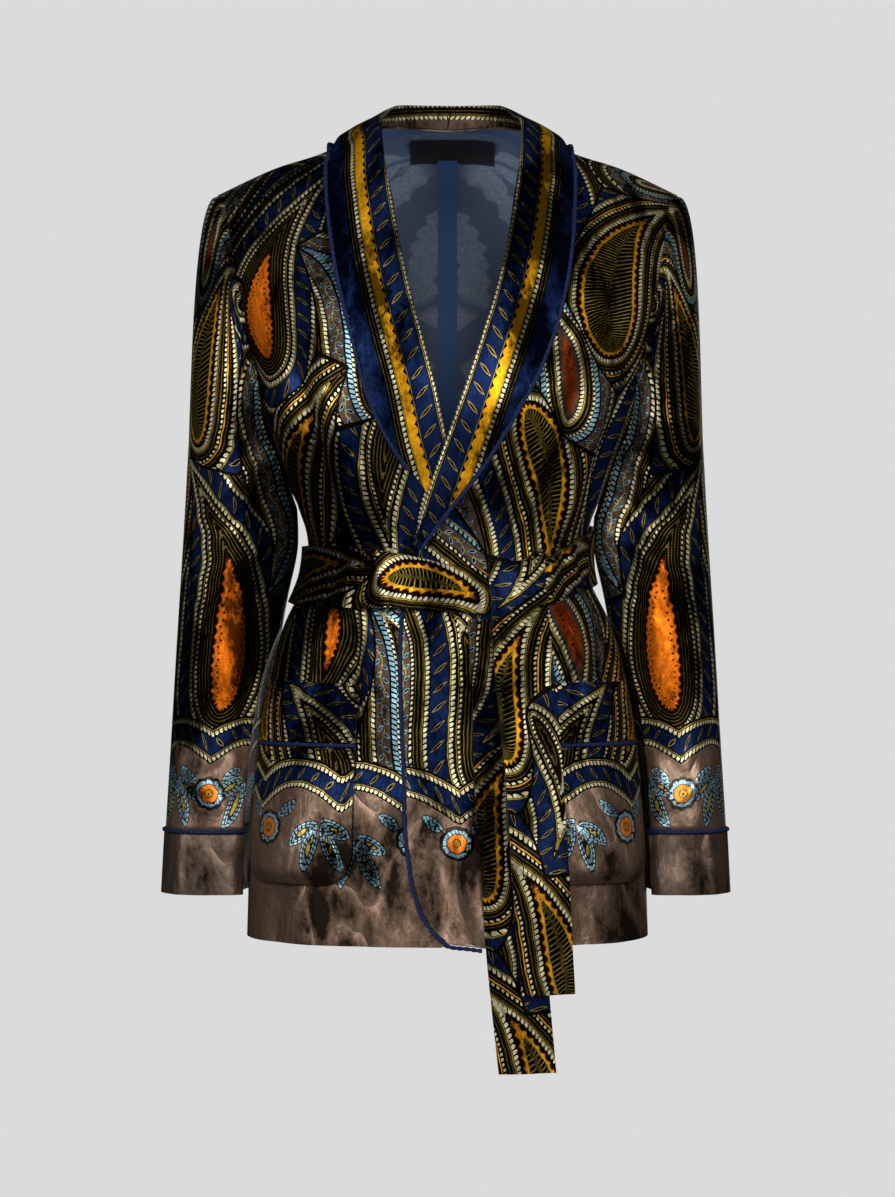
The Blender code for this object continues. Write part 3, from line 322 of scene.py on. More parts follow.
# The armhole's seam: its turning under the panels, its dip at the shoulder's ridge, the upper rows of the
# sleeve that are velvet on their inner side too, and how the cloth thins towards it.
SEAM_TURNING = 0.0045
TURNING_ROWS = 2
RIDGE_BEND = 0.004
RIDGE_TUCK = 0.0012
SEAM_ROWS = 62
SEAM_THIN = 0.08
SEAM_THIN_ROWS = 9
# Long folds of the sleeves: turn is the angle from the outer side towards the front.
SleeveFold = namedtuple("SleeveFold", "turn top bottom width depth")
SLEEVE_FOLDS = table(
    SleeveFold,
    (2.15, -0.200, -0.620, 0.26, -0.0065),
    (1.60, -0.250, -0.560, 0.30, 0.0035),
    (-2.00, -0.220, -0.600, 0.30, -0.0060),
    (-1.00, -0.300, -0.640, 0.35, -0.0030),
    (2.55, -0.190, -0.440, 0.42, 0.0120),
)
SLEEVE_FOLD_FADE = 0.08
# Smaller creases of the sleeves and cuffs: x is the way round from the outer side to the front.
SLEEVE_CREASES = table(
    Fold,
    (1, 0.122, -0.275, 0.056, -0.330, 0.0070, 0.0034),
    (1, 0.128, -0.312, 0.066, -0.352, 0.0060, -0.0032),
    (1, 0.128, -0.345, 0.070, -0.392, 0.0070, 0.0032),
    (1, 0.128, -0.385, 0.090, -0.425, 0.0060, -0.0024),
    (1, 0.116, -0.170, 0.090, -0.285, 0.0100, 0.0036),
    (1, 0.092, -0.160, 0.074, -0.260, 0.0080, -0.0028),
    (1, 0.052, -0.120, 0.060, -0.225, 0.0130, 0.0026),
    (1, 0.030, -0.555, 0.088, -0.600, 0.0060, 0.0022),
    (1, 0.110, -0.520, 0.070, -0.575, 0.0065, -0.0022),
    (1, 0.030, -0.420, 0.036, -0.540, 0.0110, -0.0024),
    (1, -0.120, -0.290, -0.050, -0.345, 0.0075, 0.0034),
    (1, -0.118, -0.328, -0.060, -0.372, 0.0065, -0.0030),
    (1, -0.090, -0.170, -0.080, -0.290, 0.0110, 0.0036),
    (1, -0.030, -0.540, -0.090, -0.590, 0.0065, 0.0022),
)
CUFF_CREASES = table(
    Fold,
    (1, 0.046, -0.612, 0.044, -0.690, 0.0060, 0.0018),
    (1, 0.078, -0.612, 0.082, -0.690, 0.0075, -0.0022),
    (1, 0.104, -0.612, 0.100, -0.690, 0.0065, 0.0016),
    (1, -0.060, -0.612, -0.066, -0.690, 0.0075, 0.0018),
)

# Patch pockets
POCKET_TOP = -0.4860
POCKET_SEAM = -0.5400
POCKET_BOTTOM = -0.6620
POCKET_INNER_TURN = math.radians(24.5)
POCKET_OUTER_TURN = math.radians(73.0)
POCKET_CORNER = 0.030
POCKET_PUFF = 0.0035
POCKET_GAP = 0.0015
# How far the lower part of the bag sags out, and between which shares of the pocket's height.
POCKET_SAG = 0.0110
POCKET_SAG_START = (0.45, 0.84)
POCKET_SAG_END = (1.03, 0.92)
# The way round the body that a turn takes there, as a share of its depth.
POCKET_BEND = 1.30
POCKET_COLUMNS = round(0.12 / SPACING)
POCKET_CORNER_START = 0.30
CORNER_ROWS = 14
BAG_ROWS = 28
BAND_ROWS = 18
POCKET_CORD_POINTS = 60

# The belt: height of its middle, half of its height, at each turn from the centre front (left is +).
BeltRow = namedtuple("BeltRow", "turn height half_height")
BELT = table(
    BeltRow,
    (-180.0, -0.380, 0.026),
    (-90.0, -0.391, 0.026),
    (-40.0, -0.394, 0.0275),
    (-18.0, -0.397, 0.0255),
    (12.0, -0.407, 0.0200),
    (24.0, -0.407, 0.0195),
    (45.0, -0.391, 0.0225),
    (75.0, -0.377, 0.0255),
    (180.0, -0.380, 0.026),
)
BELT_SPAN = (26.5, 382.0)
BELT_COLUMNS = 300
BELT_ROWS = 17
BELT_BOW = 0.0012
BELT_GAP = 0.0030
# How far it rides over the lap and the second end, and between which distances from the centre line.
BELT_LIFT = 0.0075
BELT_LIFT_RIGHT = (-0.078, -0.046)
BELT_LIFT_LEFT = (0.125, 0.088)
# Creases across the belt: turn of its middle, how far its ends are turned apart, width and height.
BeltFold = namedtuple("BeltFold", "turn slant width height")
BELT_FOLDS = table(
    BeltFold,
    (325.0, 0.0, 4.0, 0.0042),
    (316.0, 2.5, 2.6, -0.0022),
    (338.0, -4.0, 2.6, 0.0030),
    (352.0, 5.0, 2.8, 0.0026),
    (300.0, 3.0, 3.5, 0.0016),
    (282.0, -3.0, 4.0, -0.0014),
    (36.0, 4.0, 2.4, 0.0034),
    (44.0, 1.0, 2.4, -0.0022),
    (52.0, -3.0, 2.6, 0.0030),
    (64.0, 3.0, 3.4, 0.0024),
    (150.0, 4.0, 4.0, 0.0018),
    (196.0, -5.0, 4.5, 0.0020),
    (236.0, 3.0, 4.0, -0.0016),
)
# The hanging ends: left and right edge and distance from the body at each height.
TailRow = namedtuple("TailRow", "height left right off")
FRONT_TAIL = table(
    TailRow,
    (-0.4130, 0.0375, 0.0855, 0.0175),
    (-0.4500, 0.0385, 0.0890, 0.0180),
    (-0.4825, 0.0410, 0.0925, 0.0175),
    (-0.5580, 0.0485, 0.0985, 0.0165),
    (-0.6545, 0.0555, 0.1045, 0.0160),
    (-0.7150, 0.0600, 0.1070, 0.0160),
    (-0.7530, 0.0640, 0.1090, 0.0160),
)
BACK_TAIL = table(
    TailRow,
    (-0.4310, 0.0175, 0.0680, 0.0060),
    (-0.4740, 0.0205, 0.0705, 0.0085),
    (-0.5640, 0.0225, 0.0735, 0.0085),
    (-0.6240, 0.0270, 0.0775, 0.0085),
    (-0.7140, 0.0330, 0.0840, 0.0085),
    (-0.8210, 0.0440, 0.0930, 0.0085),
)
TAIL_LEAN = 1.35
HEM_MARGIN = 0.005
TAIL_POINTS = 5
TAIL_COLUMNS = 17
# Rows of the hanging ends, as first laid out and as refined.
BACK_TAIL_ROWS = (18, 120)
FRONT_TAIL_ROWS = (16, 130)
TAIL_BOW = 0.0012
TAIL_BOW_RATE = 9.0
TAIL_BOW_FADE = 0.08
# Where each belt piece starts in the height of its print.
BELT_CUT_START = -0.026
BACK_TAIL_CUT_START = 0.05
FRONT_TAIL_CUT_START = 0.0
KNOT_LEVEL = -0.405
KNOT_SHIFT = 0.002
# How the front end turns over the belt: rise above the belt's top edge, distance beyond its inner face.
KNOT_ROLL = ((-0.0070, 0.0068), (0.0015, 0.0060), (0.0050, 0.0024), (0.0044, -0.0015))

# Inside the back neck
LINING_REACH = 2 / 3
LINING_GAP = 0.0016
LINING_BOTTOM = -0.430
LINING_TOP_GAP = 0.0015
LINING_ROWS = 110
LINING_COLUMNS = 40
# Over its last rows the lining comes close to the velvet and thins out.
LINING_EDGE_ROWS = 6
LINING_EDGE = 0.15
LINING_PRINT_WIDTH = 0.16
LABEL_RIBS = 9000.0
LABEL_ROWS = 12
LABEL_COLUMNS = 24
TAPE_COLUMNS = 3
STRIP_TRIES = 400
STRIP_MARGIN = 0.02

# Twisted cord
CORD_RADIUS = 0.0020
CORD_TWIST = 0.0064
CORD_GROOVE = 0.14
CORD_SIDES = 10
FIRST_SIDE = (0.3, 1.0, 0.2)
CORD_STEPS = 9

# The print: each motif lies at u and v of its piece's flat cut, with its tip lean degrees from up.
FLAME, GOLD, BLUE = range(3)
LEAF, FLOWER = range(2)
Motif = namedtuple("Motif", "kind u v length width lean curl")
# A border across a piece, below which the cloth is plain: its level and the scallops on it.
Border = namedtuple("Border", "level scallop span start")
NO_BORDER = Border(-1.0, 0.0, 0.1, 0.0)
Layout = namedtuple("Layout", "motifs sprays flowers border", defaults=((), (), NO_BORDER))
MOTIF_REACH = 0.15
FAR = 1.0
BEAD = 0.0046
OUTLINE_POINTS = 110
DRAWN_POINTS = 240
LEAF_DRAWN_POINTS = 160
PETALS = 5
# Leaves of a spray by lean and length, and the two leaves beside a flower.
SPRAY_LEAVES = ((128, 0.034), (162, 0.046), (205, 0.050), (240, 0.032))
SPRAY_LEAF_OUT = 0.55
SPRAY_LEAF_WIDTH = 0.0125
SPRAY_LEAF_CURL = 0.18
FLOWER_SIZE = 0.030
FLOWER_LEAF_LEANS = (-52, 52)
FLOWER_LEAF_OUT = 0.026
FLOWER_LEAF_LENGTH = 0.024
FLOWER_LEAF_WIDTH = 0.009
FLOWER_LEAF_CURL = 0.2
BORDER_STRETCH = 1.2

LEFT_FRONT_PRINT = Layout(
    table(
        Motif,
        (GOLD, 0.168, 0.640, 0.270, 0.086, 8, 0.26),
        (BLUE, 0.088, 0.545, 0.220, 0.062, -14, -0.26),
        (FLAME, 0.214, 0.452, 0.230, 0.074, 12, 0.24),
        (BLUE, 0.222, 0.775, 0.130, 0.050, 62, 0.20),
        (GOLD, 0.088, 0.372, 0.230, 0.062, 170, 0.24),
        (FLAME, 0.018, 0.238, 0.230, 0.066, -5, -0.22),
        (BLUE, 0.112, 0.232, 0.200, 0.066, 166, 0.26),
        (GOLD, 0.198, 0.238, 0.220, 0.064, 9, 0.24),
        (FLAME, 0.082, 0.715, 0.210, 0.060, 5, -0.22),
        (GOLD, 0.268, 0.345, 0.180, 0.052, -165, 0.22),
    ),
    ((0.060, 0.098), (0.172, 0.104)),
    ((0.008, 0.090), (0.122, 0.094), (0.218, 0.086)),
    Border(0.118, 0.026, 0.112, 0.010),
)
RIGHT_FRONT_PRINT = Layout(
    table(
        Motif,
        (FLAME, 0.158, 0.628, 0.280, 0.088, -8, -0.26),
        (GOLD, 0.222, 0.520, 0.220, 0.062, 164, 0.24),
        (BLUE, 0.080, 0.560, 0.220, 0.062, 12, 0.26),
        (GOLD, 0.142, 0.420, 0.240, 0.072, -10, -0.26),
        (FLAME, 0.050, 0.400, 0.200, 0.056, 168, 0.24),
        (BLUE, 0.222, 0.755, 0.130, 0.050, -60, 0.20),
        (BLUE, 0.036, 0.238, 0.220, 0.064, 9, 0.26),
        (FLAME, 0.122, 0.228, 0.210, 0.070, 170, -0.26),
        (GOLD, 0.206, 0.240, 0.220, 0.064, -8, -0.24),
        (GOLD, 0.078, 0.725, 0.200, 0.058, 8, 0.22),
    ),
    ((0.082, 0.096), (0.190, 0.100)),
    ((0.030, 0.092), (0.138, 0.096), (0.236, 0.090)),
    Border(0.122, 0.026, 0.106, 0.030),
)
BACK_PRINT = Layout(
    table(
        Motif,
        (FLAME, 0.088, 0.605, 0.290, 0.092, -8, -0.24),
        (GOLD, 0.188, 0.525, 0.240, 0.072, 12, 0.24),
        (BLUE, 0.062, 0.440, 0.190, 0.058, 168, 0.24),
        (FLAME, 0.152, 0.385, 0.210, 0.062, -8, -0.22),
        (BLUE, 0.172, 0.720, 0.170, 0.056, 58, 0.20),
        (GOLD, 0.055, 0.240, 0.220, 0.066, 8, 0.24),
        (BLUE, 0.138, 0.235, 0.200, 0.062, 166, -0.26),
        (FLAME, 0.215, 0.235, 0.210, 0.064, -10, -0.22),
        (GOLD, 0.050, 0.760, 0.140, 0.050, 72, 0.18),
        (BLUE, 0.244, 0.400, 0.170, 0.050, 16, 0.18),
    ),
    ((0.070, 0.098), (0.180, 0.100)),
    ((0.015, 0.092), (0.126, 0.096), (0.232, 0.092)),
    Border(0.120, 0.026, 0.110, 0.015),
)
SLEEVE_PRINT = Layout(
    table(
        Motif,
        (FLAME, 0.066, 0.228, 0.300, 0.090, -5, -0.22),
        (GOLD, 0.062, 0.445, 0.230, 0.070, 10, 0.26),
        (BLUE, 0.014, 0.560, 0.190, 0.056, -14, -0.24),
        (GOLD, -0.002, 0.300, 0.230, 0.052, 172, 0.22),
        (FLAME, -0.070, 0.225, 0.270, 0.084, 7, 0.24),
        (BLUE, -0.064, 0.420, 0.210, 0.066, -10, -0.24),
        (GOLD, -0.070, 0.560, 0.160, 0.050, 18, 0.18),
        (BLUE, 0.138, 0.300, 0.220, 0.050, 173, 0.22),
        (FLAME, 0.108, 0.545, 0.180, 0.054, -16, -0.22),
    ),
    ((0.105, 0.046), (0.034, 0.048), (-0.040, 0.048), (-0.110, 0.046)),
    ((0.070, 0.032), (0.000, 0.034), (-0.075, 0.033), (0.138, 0.034)),
    Border(0.066, 0.016, 0.071, 0.0),
)
POCKET_PRINT = Layout(
    table(
        Motif,
        (FLAME, 0.036, 0.132, 0.150, 0.052, 24, 0.26),
        (GOLD, 0.096, 0.124, 0.140, 0.046, -158, 0.24),
        (BLUE, 0.070, 0.205, 0.090, 0.036, -70, 0.20),
        (GOLD, 0.008, 0.210, 0.080, 0.032, 40, 0.20),
    ),
    ((0.030, 0.058),),
    ((0.082, 0.050),),
    Border(0.074, 0.022, 0.086, 0.010),
)
BELT_PRINT = Layout(
    tuple(
        Motif(GOLD, 0.04 + 0.135 * k, 0.010 * (-1) ** k, 0.160, 0.050, 76 + 24 * (k % 2), 0.2)
        for k in range(8)
    ),
)
TAIL_PRINT = Layout(
    table(
        Motif,
        (GOLD, 0.022, 0.070, 0.190, 0.056, -12, -0.24),
        (FLAME, 0.044, 0.180, 0.150, 0.036, 166, 0.22),
        (GOLD, 0.016, 0.280, 0.190, 0.060, 10, 0.24),
        (FLAME, 0.042, 0.385, 0.150, 0.040, -164, 0.22),
    ),
)


# Smooth tables

def smooth_rows(rows, stations):
    """Passes a smooth curve through the columns of a table, given each row's station."""
    rows = np.asarray(rows, float)
    stations = np.asarray(stations, float)
    slopes = np.gradient(rows, stations, axis=0)

    def at(where):
        where = np.clip(np.asarray(where, float), stations[0], stations[-1])
        k = np.clip(np.searchsorted(stations, where, side="right") - 1, 0, len(stations) - 2)
        span = (stations[k + 1] - stations[k])[..., None]
        t = (where - stations[k])[..., None] / span
        start = (1 + 2 * t) * (1 - t) ** 2 * rows[k] + t * (1 - t) ** 2 * span * slopes[k]
        end = t * t * (3 - 2 * t) * rows[k + 1] - t * t * (1 - t) * span * slopes[k + 1]
        return start + end

    return at


def ease(value, low, high):
    """0 at low and 1 at high, with a soft start and end; low may be the larger."""
    t = np.clip((np.asarray(value, float) - low) / (high - low), 0, 1)
    return t * t * (3 - 2 * t)


def line_way(points):
    """The way along a line of points, from its first."""
    return np.concatenate([[0], np.cumsum(np.linalg.norm(np.diff(points, axis=0), axis=1))])


def refined(grid, rows, columns):
    """A smooth surface through a coarse grid, with more rows and columns."""
    for axis, count in ((0, rows), (1, columns)):
        turned = np.moveaxis(grid, axis, 0)
        steps = np.linalg.norm(np.diff(turned, axis=0), axis=-1).mean(axis=1)
        along = np.concatenate([[0], np.cumsum(steps)])
        at = smooth_rows(turned.reshape(len(turned), -1), along)
        fine = at(np.linspace(0, along[-1], count)).reshape(count, *turned.shape[1:])
        grid = np.moveaxis(fine, 0, axis)
    return grid


def refined_line(points, step):
    """A smooth line through points, at even steps."""
    along = line_way(points)
    return smooth_rows(points, along)(np.linspace(0, along[-1], max(2, round(along[-1] / step))))


def unit(vectors):
    """Vectors of length 1 in the same directions."""
    return vectors / np.maximum(np.linalg.norm(vectors, axis=-1, keepdims=True), 1e-12)


def body_table():
    """The body's columns against the distance up the cloth, mirrored past the ridge to be round there."""
    rows = np.array(BODY)
    beyond = rows[-2] * np.array([1, 1, 1, -1, -1, 1])
    rows = np.vstack([rows, beyond])
    depth = rows[:, 3] + rows[:, 4]
    steps = np.hypot(np.diff(rows[:, 0]), np.diff(depth) / 2)
    stations = np.concatenate([[0], np.cumsum(steps)])
    return smooth_rows(rows, stations), stations[:-1]


BODY_AT, BODY_STATIONS = body_table()
RIDGE = BODY_STATIONS[-1]
ARMPIT = BODY_STATIONS[ARMPIT_ROW]
FINE_STATIONS = np.linspace(0, RIDGE, 3000)
FINE_BODY = BODY_AT(FINE_STATIONS)
drop_at = smooth_rows([[row.drop] for row in SHOULDER], [row.out for row in SHOULDER])
edge_at = smooth_rows([row[1:] for row in FRONT_EDGES], [row.height for row in FRONT_EDGES])
belt_at = smooth_rows([row[1:] for row in BELT], [row.turn for row in BELT])
sleeve_at = smooth_rows([row[1:] for row in SLEEVE], [-row.height for row in SLEEVE])


# The body's surface

def signed_power(value, power):
    """A power of the size of a value, with its sign kept."""
    return np.sign(value) * np.abs(value) ** power


def bare_body(turn, up):
    """A point of the body with no folds.

    turn is the angle from the centre front, and up the distance from the hem.
    """
    height, fall, half_width, front, back, _ = np.moveaxis(BODY_AT(up), -1, 0)
    depth = np.where(np.cos(turn) > 0, front, back)
    x = half_width * signed_power(np.sin(turn), 2 / ROUNDNESS)
    y = -depth * signed_power(np.cos(turn), 2 / ROUNDNESS)
    z = height - fall * drop_at(np.abs(x))[..., 0]
    return np.stack([x, y, z], axis=-1)


def body_normal(turn, up):
    """The outward direction of the bare body, from small steps round and up it."""
    above, below = np.minimum(up + SMALL_STEP, RIDGE), np.maximum(up - SMALL_STEP, 0)
    sideways = bare_body(turn + SMALL_STEP, up) - bare_body(turn - SMALL_STEP, up)
    upwards = bare_body(turn, above) - bare_body(turn, below)
    return unit(np.cross(sideways, upwards))


def belt_level(turn):
    """Middle and half height of the belt at a turn in radians."""
    degrees = (np.degrees(turn) + 180) % 360 - 180
    height, half = np.moveaxis(belt_at(degrees), -1, 0)
    return height, half


def fold_lift(folds, x, z):
    """The heights of folds at x and z, each fading towards its ends; one row for each fold."""
    heights = []
    for fold in folds:
        along = np.array([fold.x1 - fold.x0, fold.z1 - fold.z0])
        length = np.linalg.norm(along)
        t = ((x - fold.x0) * along[0] + (z - fold.z0) * along[1]) / length**2
        away = ((z - fold.z0) * along[0] - (x - fold.x0) * along[1]) / length
        fade = ease(t, *FOLD_START) * ease(t, *FOLD_END)
        heights.append(fold.height * fade * np.exp(-((away / fold.width) ** 2)))
    return np.array(heights)


def fold_height(points, turn):
    """How far folds and creases lift or sink the cloth at points of the bare body.

    The belt presses them flat.
    """
    x, y, z = np.moveaxis(points, -1, 0)
    total = np.zeros_like(x)
    folds = BODY_FOLDS + BODY_CREASES
    for fold, height in zip(folds, fold_lift(folds, x, z)):
        total += height * ease(-fold.facing * y, 0.0, FOLD_FACING)
    return total * (1 - np.exp(-(((z - belt_level(turn)[0]) / BELT_PRESS) ** 4)))


def body(turn, up, off=0.0):
    """A point of the folded body, moved out by off."""
    turn, up = np.broadcast_arrays(np.asarray(turn, float), np.asarray(up, float))
    bare = bare_body(turn, up)
    return bare + body_normal(turn, up) * (fold_height(bare, turn) + off)[..., None]


def centre_up(z):
    """The distance up the centre line at a height, or at several."""
    return np.interp(z, FINE_BODY[:, 0], FINE_STATIONS)


def up_of(x, z):
    """The distance up the body of the place at x and z."""
    heights = FINE_BODY[:, 0] - FINE_BODY[:, 1] * drop_at(abs(x))[0]
    return float(np.interp(z, heights, FINE_STATIONS))


def turn_of(x, up, facing=1):
    """The angle from the centre front of the place at x on one row."""
    half_width = BODY_AT(up)[2]
    angle = math.asin(min(1.0, abs(x) / half_width) ** (ROUNDNESS / 2)) * (1 if x >= 0 else -1)
    return angle if facing > 0 else math.pi - angle


def on_body(x, z, off=0.0, facing=1):
    """A point of the body at x and z as seen from the front or from behind."""
    up = up_of(x, z)
    return body(turn_of(x, up, facing), up, off)


def arm_turn(up, facing):
    """Where a row meets the side seam or the armhole."""
    bite = max(0.0, float(BODY_AT(up)[5])) if ARMPIT < up < RIDGE else 0.0
    angle = math.asin((1 - bite) ** (ROUNDNESS / 2))
    return angle if facing > 0 else math.pi - angle


def lap(x, z):
    """How far the left front is lifted off the body, to lie over the right front and its collar."""
    over = ease(x, LAP_FROM, LAP_TO)
    crossing = np.exp(-(((np.asarray(z) - CROSSING_LEVEL) / CROSSING_REACH) ** 2))
    return over * (LAP_LIFT + CROSSING_LIFT * crossing) + fold_lift(LAP_FOLDS, x, z).sum(axis=0)


# Shells

def grid_normals(grid, wrap=False):
    """Directions across a grid of points, rows by columns; wrap joins the last column to the first."""
    if wrap:
        round_ends = np.concatenate([grid[:, -1:], grid, grid[:, :1]], axis=1)
        sideways = round_ends[:, 2:] - round_ends[:, :-2]
    else:
        sideways = np.gradient(grid, axis=1)
    return unit(np.cross(sideways, np.gradient(grid, axis=0)))


def corners(values):
    """The values of a grid at the corners of its cells."""
    around = (values[:-1, :-1], values[:-1, 1:], values[1:, 1:], values[1:, :-1])
    return np.stack(around, axis=-1).reshape(-1, 4)


def shell_faces(rows, columns, wrap):
    """Faces of the outer side, the inner side and the rim of a sheet; the inner points follow the outer."""
    count = rows * columns
    index = np.arange(count).reshape(rows, columns)
    if wrap:
        index = np.hstack([index, index[:, :1]])
    outer = corners(index)
    edges = [(index[0] + count, index[0]), (index[-1], index[-1] + count)]
    if not wrap:
        edges.append((index[:, 0], index[:, 0] + count))
        edges.append((index[:, -1] + count, index[:, -1]))
    rim = np.concatenate([corners(np.stack(edge)) for edge in edges])
    return outer, outer[:, ::-1] + count, rim


def signed_volume(points, faces):
    """The volume inside faces of four corners, below 0 where they face inwards."""
    a, b, c, d = (points[faces[:, k]] for k in range(4))
    return (np.einsum("ij,ij->i", a, np.cross(b, c)) + np.einsum("ij,ij->i", a, np.cross(c, d))).sum() / 6


def placed(name, made):
    """An object in the scene for a mesh, a light or a camera."""
    piece = bpy.data.objects.new(name, made)
    bpy.context.scene.collection.objects.link(piece)
    return piece


def shell(name, outer, inner, outside, inside=None, wrap=False, fields=None, turning=0):
    """A closed sheet of cloth between two grids, with its print's fields at the corners of its faces.

    The outside's finish goes on over the inner side of its last rows, as many as turning says.
    """
    rows, columns = outer.shape[:2]
    points = np.concatenate([outer.reshape(-1, 3), inner.reshape(-1, 3)])
    shown, hidden, rim = shell_faces(rows, columns, wrap)
    faces = np.concatenate([shown, rim, hidden])
    flip = signed_volume(points, faces) < 0
    if flip:
        faces = faces[:, ::-1]
    mesh = bpy.data.meshes.new(name)
    mesh.from_pydata(points.tolist(), [], faces.tolist())
    mesh.materials.append(outside)
    if inside:
        mesh.materials.append(inside)
        slots = np.zeros(len(faces), np.int32)
        slots[len(shown) + len(rim):len(faces) - turning * len(shown) // (rows - 1)] = 1
        mesh.polygons.foreach_set("material_index", slots)
    for field, values in (fields or {}).items():
        if flip:
            values = values[:, ::-1]
        whole = np.full((len(faces), 4, 3), PLAIN_FIELD[field], np.float32)
        whole[:len(shown)] = values
        whole[len(shown) + len(rim):] = values[:, ::-1]
        layer = mesh.attributes.new(field, "FLOAT_VECTOR", "CORNER")
        layer.data.foreach_set("vector", np.ascontiguousarray(whole).ravel())
    mesh.shade_smooth()
    mesh.set_sharp_from_angle(angle=SHARP_EDGE)
    return placed(name, mesh)


def dress(piece, node):
    """Makes a piece stand for its solid."""
    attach(piece, "root")
    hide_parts(node)
    return piece


def cell_area(grid):
    """The area of a grid's cells."""
    across = grid[1:, 1:] - grid[:-1, :-1]
    back = grid[1:, :-1] - grid[:-1, 1:]
    return float(np.linalg.norm(np.cross(across, back), axis=-1).sum() / 2)


def cloth(
    node, outer, inner, outside, inside=None, wrap=False, fields=None, turning=0
):
    """One cloth piece: its shell and what it stands for; the size that it was cut to is worked out but not
    kept.
    """
    piece = dress(shell(node + "_cloth", outer, inner, outside, inside, wrap, fields, turning), node)
    closed = np.concatenate([outer, outer[:, :1]], axis=1) if wrap else outer
    wide = np.linalg.norm(np.diff(closed, axis=1), axis=-1).sum(axis=1).max()
    long = np.linalg.norm(np.diff(closed, axis=0), axis=-1).sum(axis=0).max()
    area = min(cell_area(closed), wide * long)


def row_way(grid):
    """The way along each row of a grid, from its first point."""
    steps = np.linalg.norm(np.diff(grid, axis=1), axis=-1)
    return np.concatenate([np.zeros((len(grid), 1)), np.cumsum(steps, axis=1)], axis=1)


def column_way(grid):
    """The way along each column of a grid, from its first point."""
    return row_way(np.swapaxes(grid, 0, 1)).T


# The print's fields

PLAIN_FIELD = {"paisley": (FAR, 0.0, FAR), "border": (-FAR, 0.0, 0.0), "sprig": (FAR, 0.0, 0.0)}


def leaning(degrees):
    """The direction in a flat cut that leans some degrees from up."""
    lean = math.radians(degrees)
    return np.array([math.sin(lean), math.cos(lean)])


def resampled(outline):
    """A closed outline at even steps."""
    closed = np.vstack([outline, outline[:1]])
    way = line_way(closed)
    steps = np.linspace(0, way[-1], OUTLINE_POINTS, endpoint=False)
    return np.stack([np.interp(steps, way, closed[:, k]) for k in range(2)], axis=1)


def turned(outline, motif):
    """An outline leant over and set in its place."""
    along = leaning(motif.lean)
    across = np.array([along[1], -along[0]])
    return np.array([motif.u, motif.v]) + outline[:, :1] * across + outline[:, 1:] * along


def teardrop(motif):
    """A drop with a round foot and a bent tip."""
    t = np.linspace(0, 2 * math.pi, DRAWN_POINTS, endpoint=False)
    x = np.sin(t) * np.abs(np.sin(t / 2)) ** 2.1
    x *= motif.width / 2 / x.max()
    y = motif.length / 2 * np.cos(t)
    rise = (y / motif.length + 0.5).clip(0, 1)
    x += motif.curl * motif.length * (1.9 * rise**3 - 0.8 * rise)
    return turned(resampled(np.stack([x, y], axis=1)), motif)


def pointed_leaf(motif):
    """A slender leaf with two points."""
    t = np.linspace(0, 2 * math.pi, LEAF_DRAWN_POINTS, endpoint=False)
    x = motif.width / 2 * signed_power(np.sin(t), 1.7)
    y = motif.length / 2 * np.cos(t)
    x += motif.curl * motif.length * (y / motif.length) ** 2
    return turned(resampled(np.stack([x, y], axis=1)), motif)


def rosette(motif):
    """A round flower with scalloped petals."""
    t = np.linspace(0, 2 * math.pi, DRAWN_POINTS, endpoint=False)
    reach = motif.width / 2 * (0.86 + 0.14 * np.abs(np.cos(PETALS * t)))
    return turned(resampled(np.stack([reach * np.sin(t), reach * np.cos(t)], axis=1)), motif)


def sprig_outline(motif):
    """The outline of a leaf or a flower."""
    return rosette(motif) if motif.kind == FLOWER else pointed_leaf(motif)


def outline_fields(points, outline, pitch):
    """Distances of points to a closed outline, below 0 inside, the way along it to them, and its length.

    The way and the length are stretched to whole beads of the pitch.
    """
    ahead = np.roll(outline, -1, axis=0) - outline
    length = np.linalg.norm(ahead, axis=1)
    start = np.concatenate([[0], np.cumsum(length)[:-1]])
    x = points[:, None, 0] - outline[None, :, 0]
    y = points[:, None, 1] - outline[None, :, 1]
    t = np.clip((x * ahead[:, 0] + y * ahead[:, 1]) / length**2, 0, 1)
    gap = np.hypot(x - t * ahead[:, 0], y - t * ahead[:, 1])
    k = np.argmin(gap, axis=1)
    each = np.arange(len(points))
    below = y < 0
    beyond = np.roll(below, -1, axis=1)
    slant = np.where(np.abs(ahead[:, 1]) < 1e-12, 1e-12, ahead[:, 1])
    crossing = (below != beyond) & (x < y * ahead[:, 0] / slant)
    inside = crossing.sum(axis=1) % 2 == 1
    whole = length.sum()
    beads = round(whole / pitch)
    way = (start[k] + t[each, k] * length[k]) * beads * pitch / whole
    return np.where(inside, -gap[each, k], gap[each, k]), way, beads * pitch


def motif_fields(flat, motifs, outline_of):
    """Distance, way, gap to the next motif and kind, at the corners of the cells of a flat grid."""
    points = flat.reshape(-1, 2)
    distance = np.full((len(motifs), len(points)), FAR)
    way = np.zeros_like(distance)
    whole = np.ones(len(motifs))
    for m, motif in enumerate(motifs):
        outline = outline_of(motif)
        low, high = outline.min(axis=0) - MOTIF_REACH, outline.max(axis=0) + MOTIF_REACH
        near = np.all((points > low) & (points < high), axis=1)
        if near.any():
            distance[m, near], way[m, near], whole[m] = outline_fields(points[near], outline, BEAD)
    cells = corners(np.arange(len(points)).reshape(flat.shape[:2]))
    chosen = distance[:, cells].mean(axis=2).argmin(axis=0)
    d = distance[chosen[:, None], cells]
    s = way[chosen[:, None], cells]
    long = whole[chosen][:, None]
    s = np.where((np.ptp(s, axis=1)[:, None] > long / 2) & (s < long / 2), s + long, s)
    others = distance[:, cells].copy()
    others[chosen, np.arange(len(cells))] = FAR
    kinds = np.array([motif.kind for motif in motifs])[chosen]
    return d, s, others.min(axis=0) - d, np.broadcast_to(kinds[:, None], d.shape)


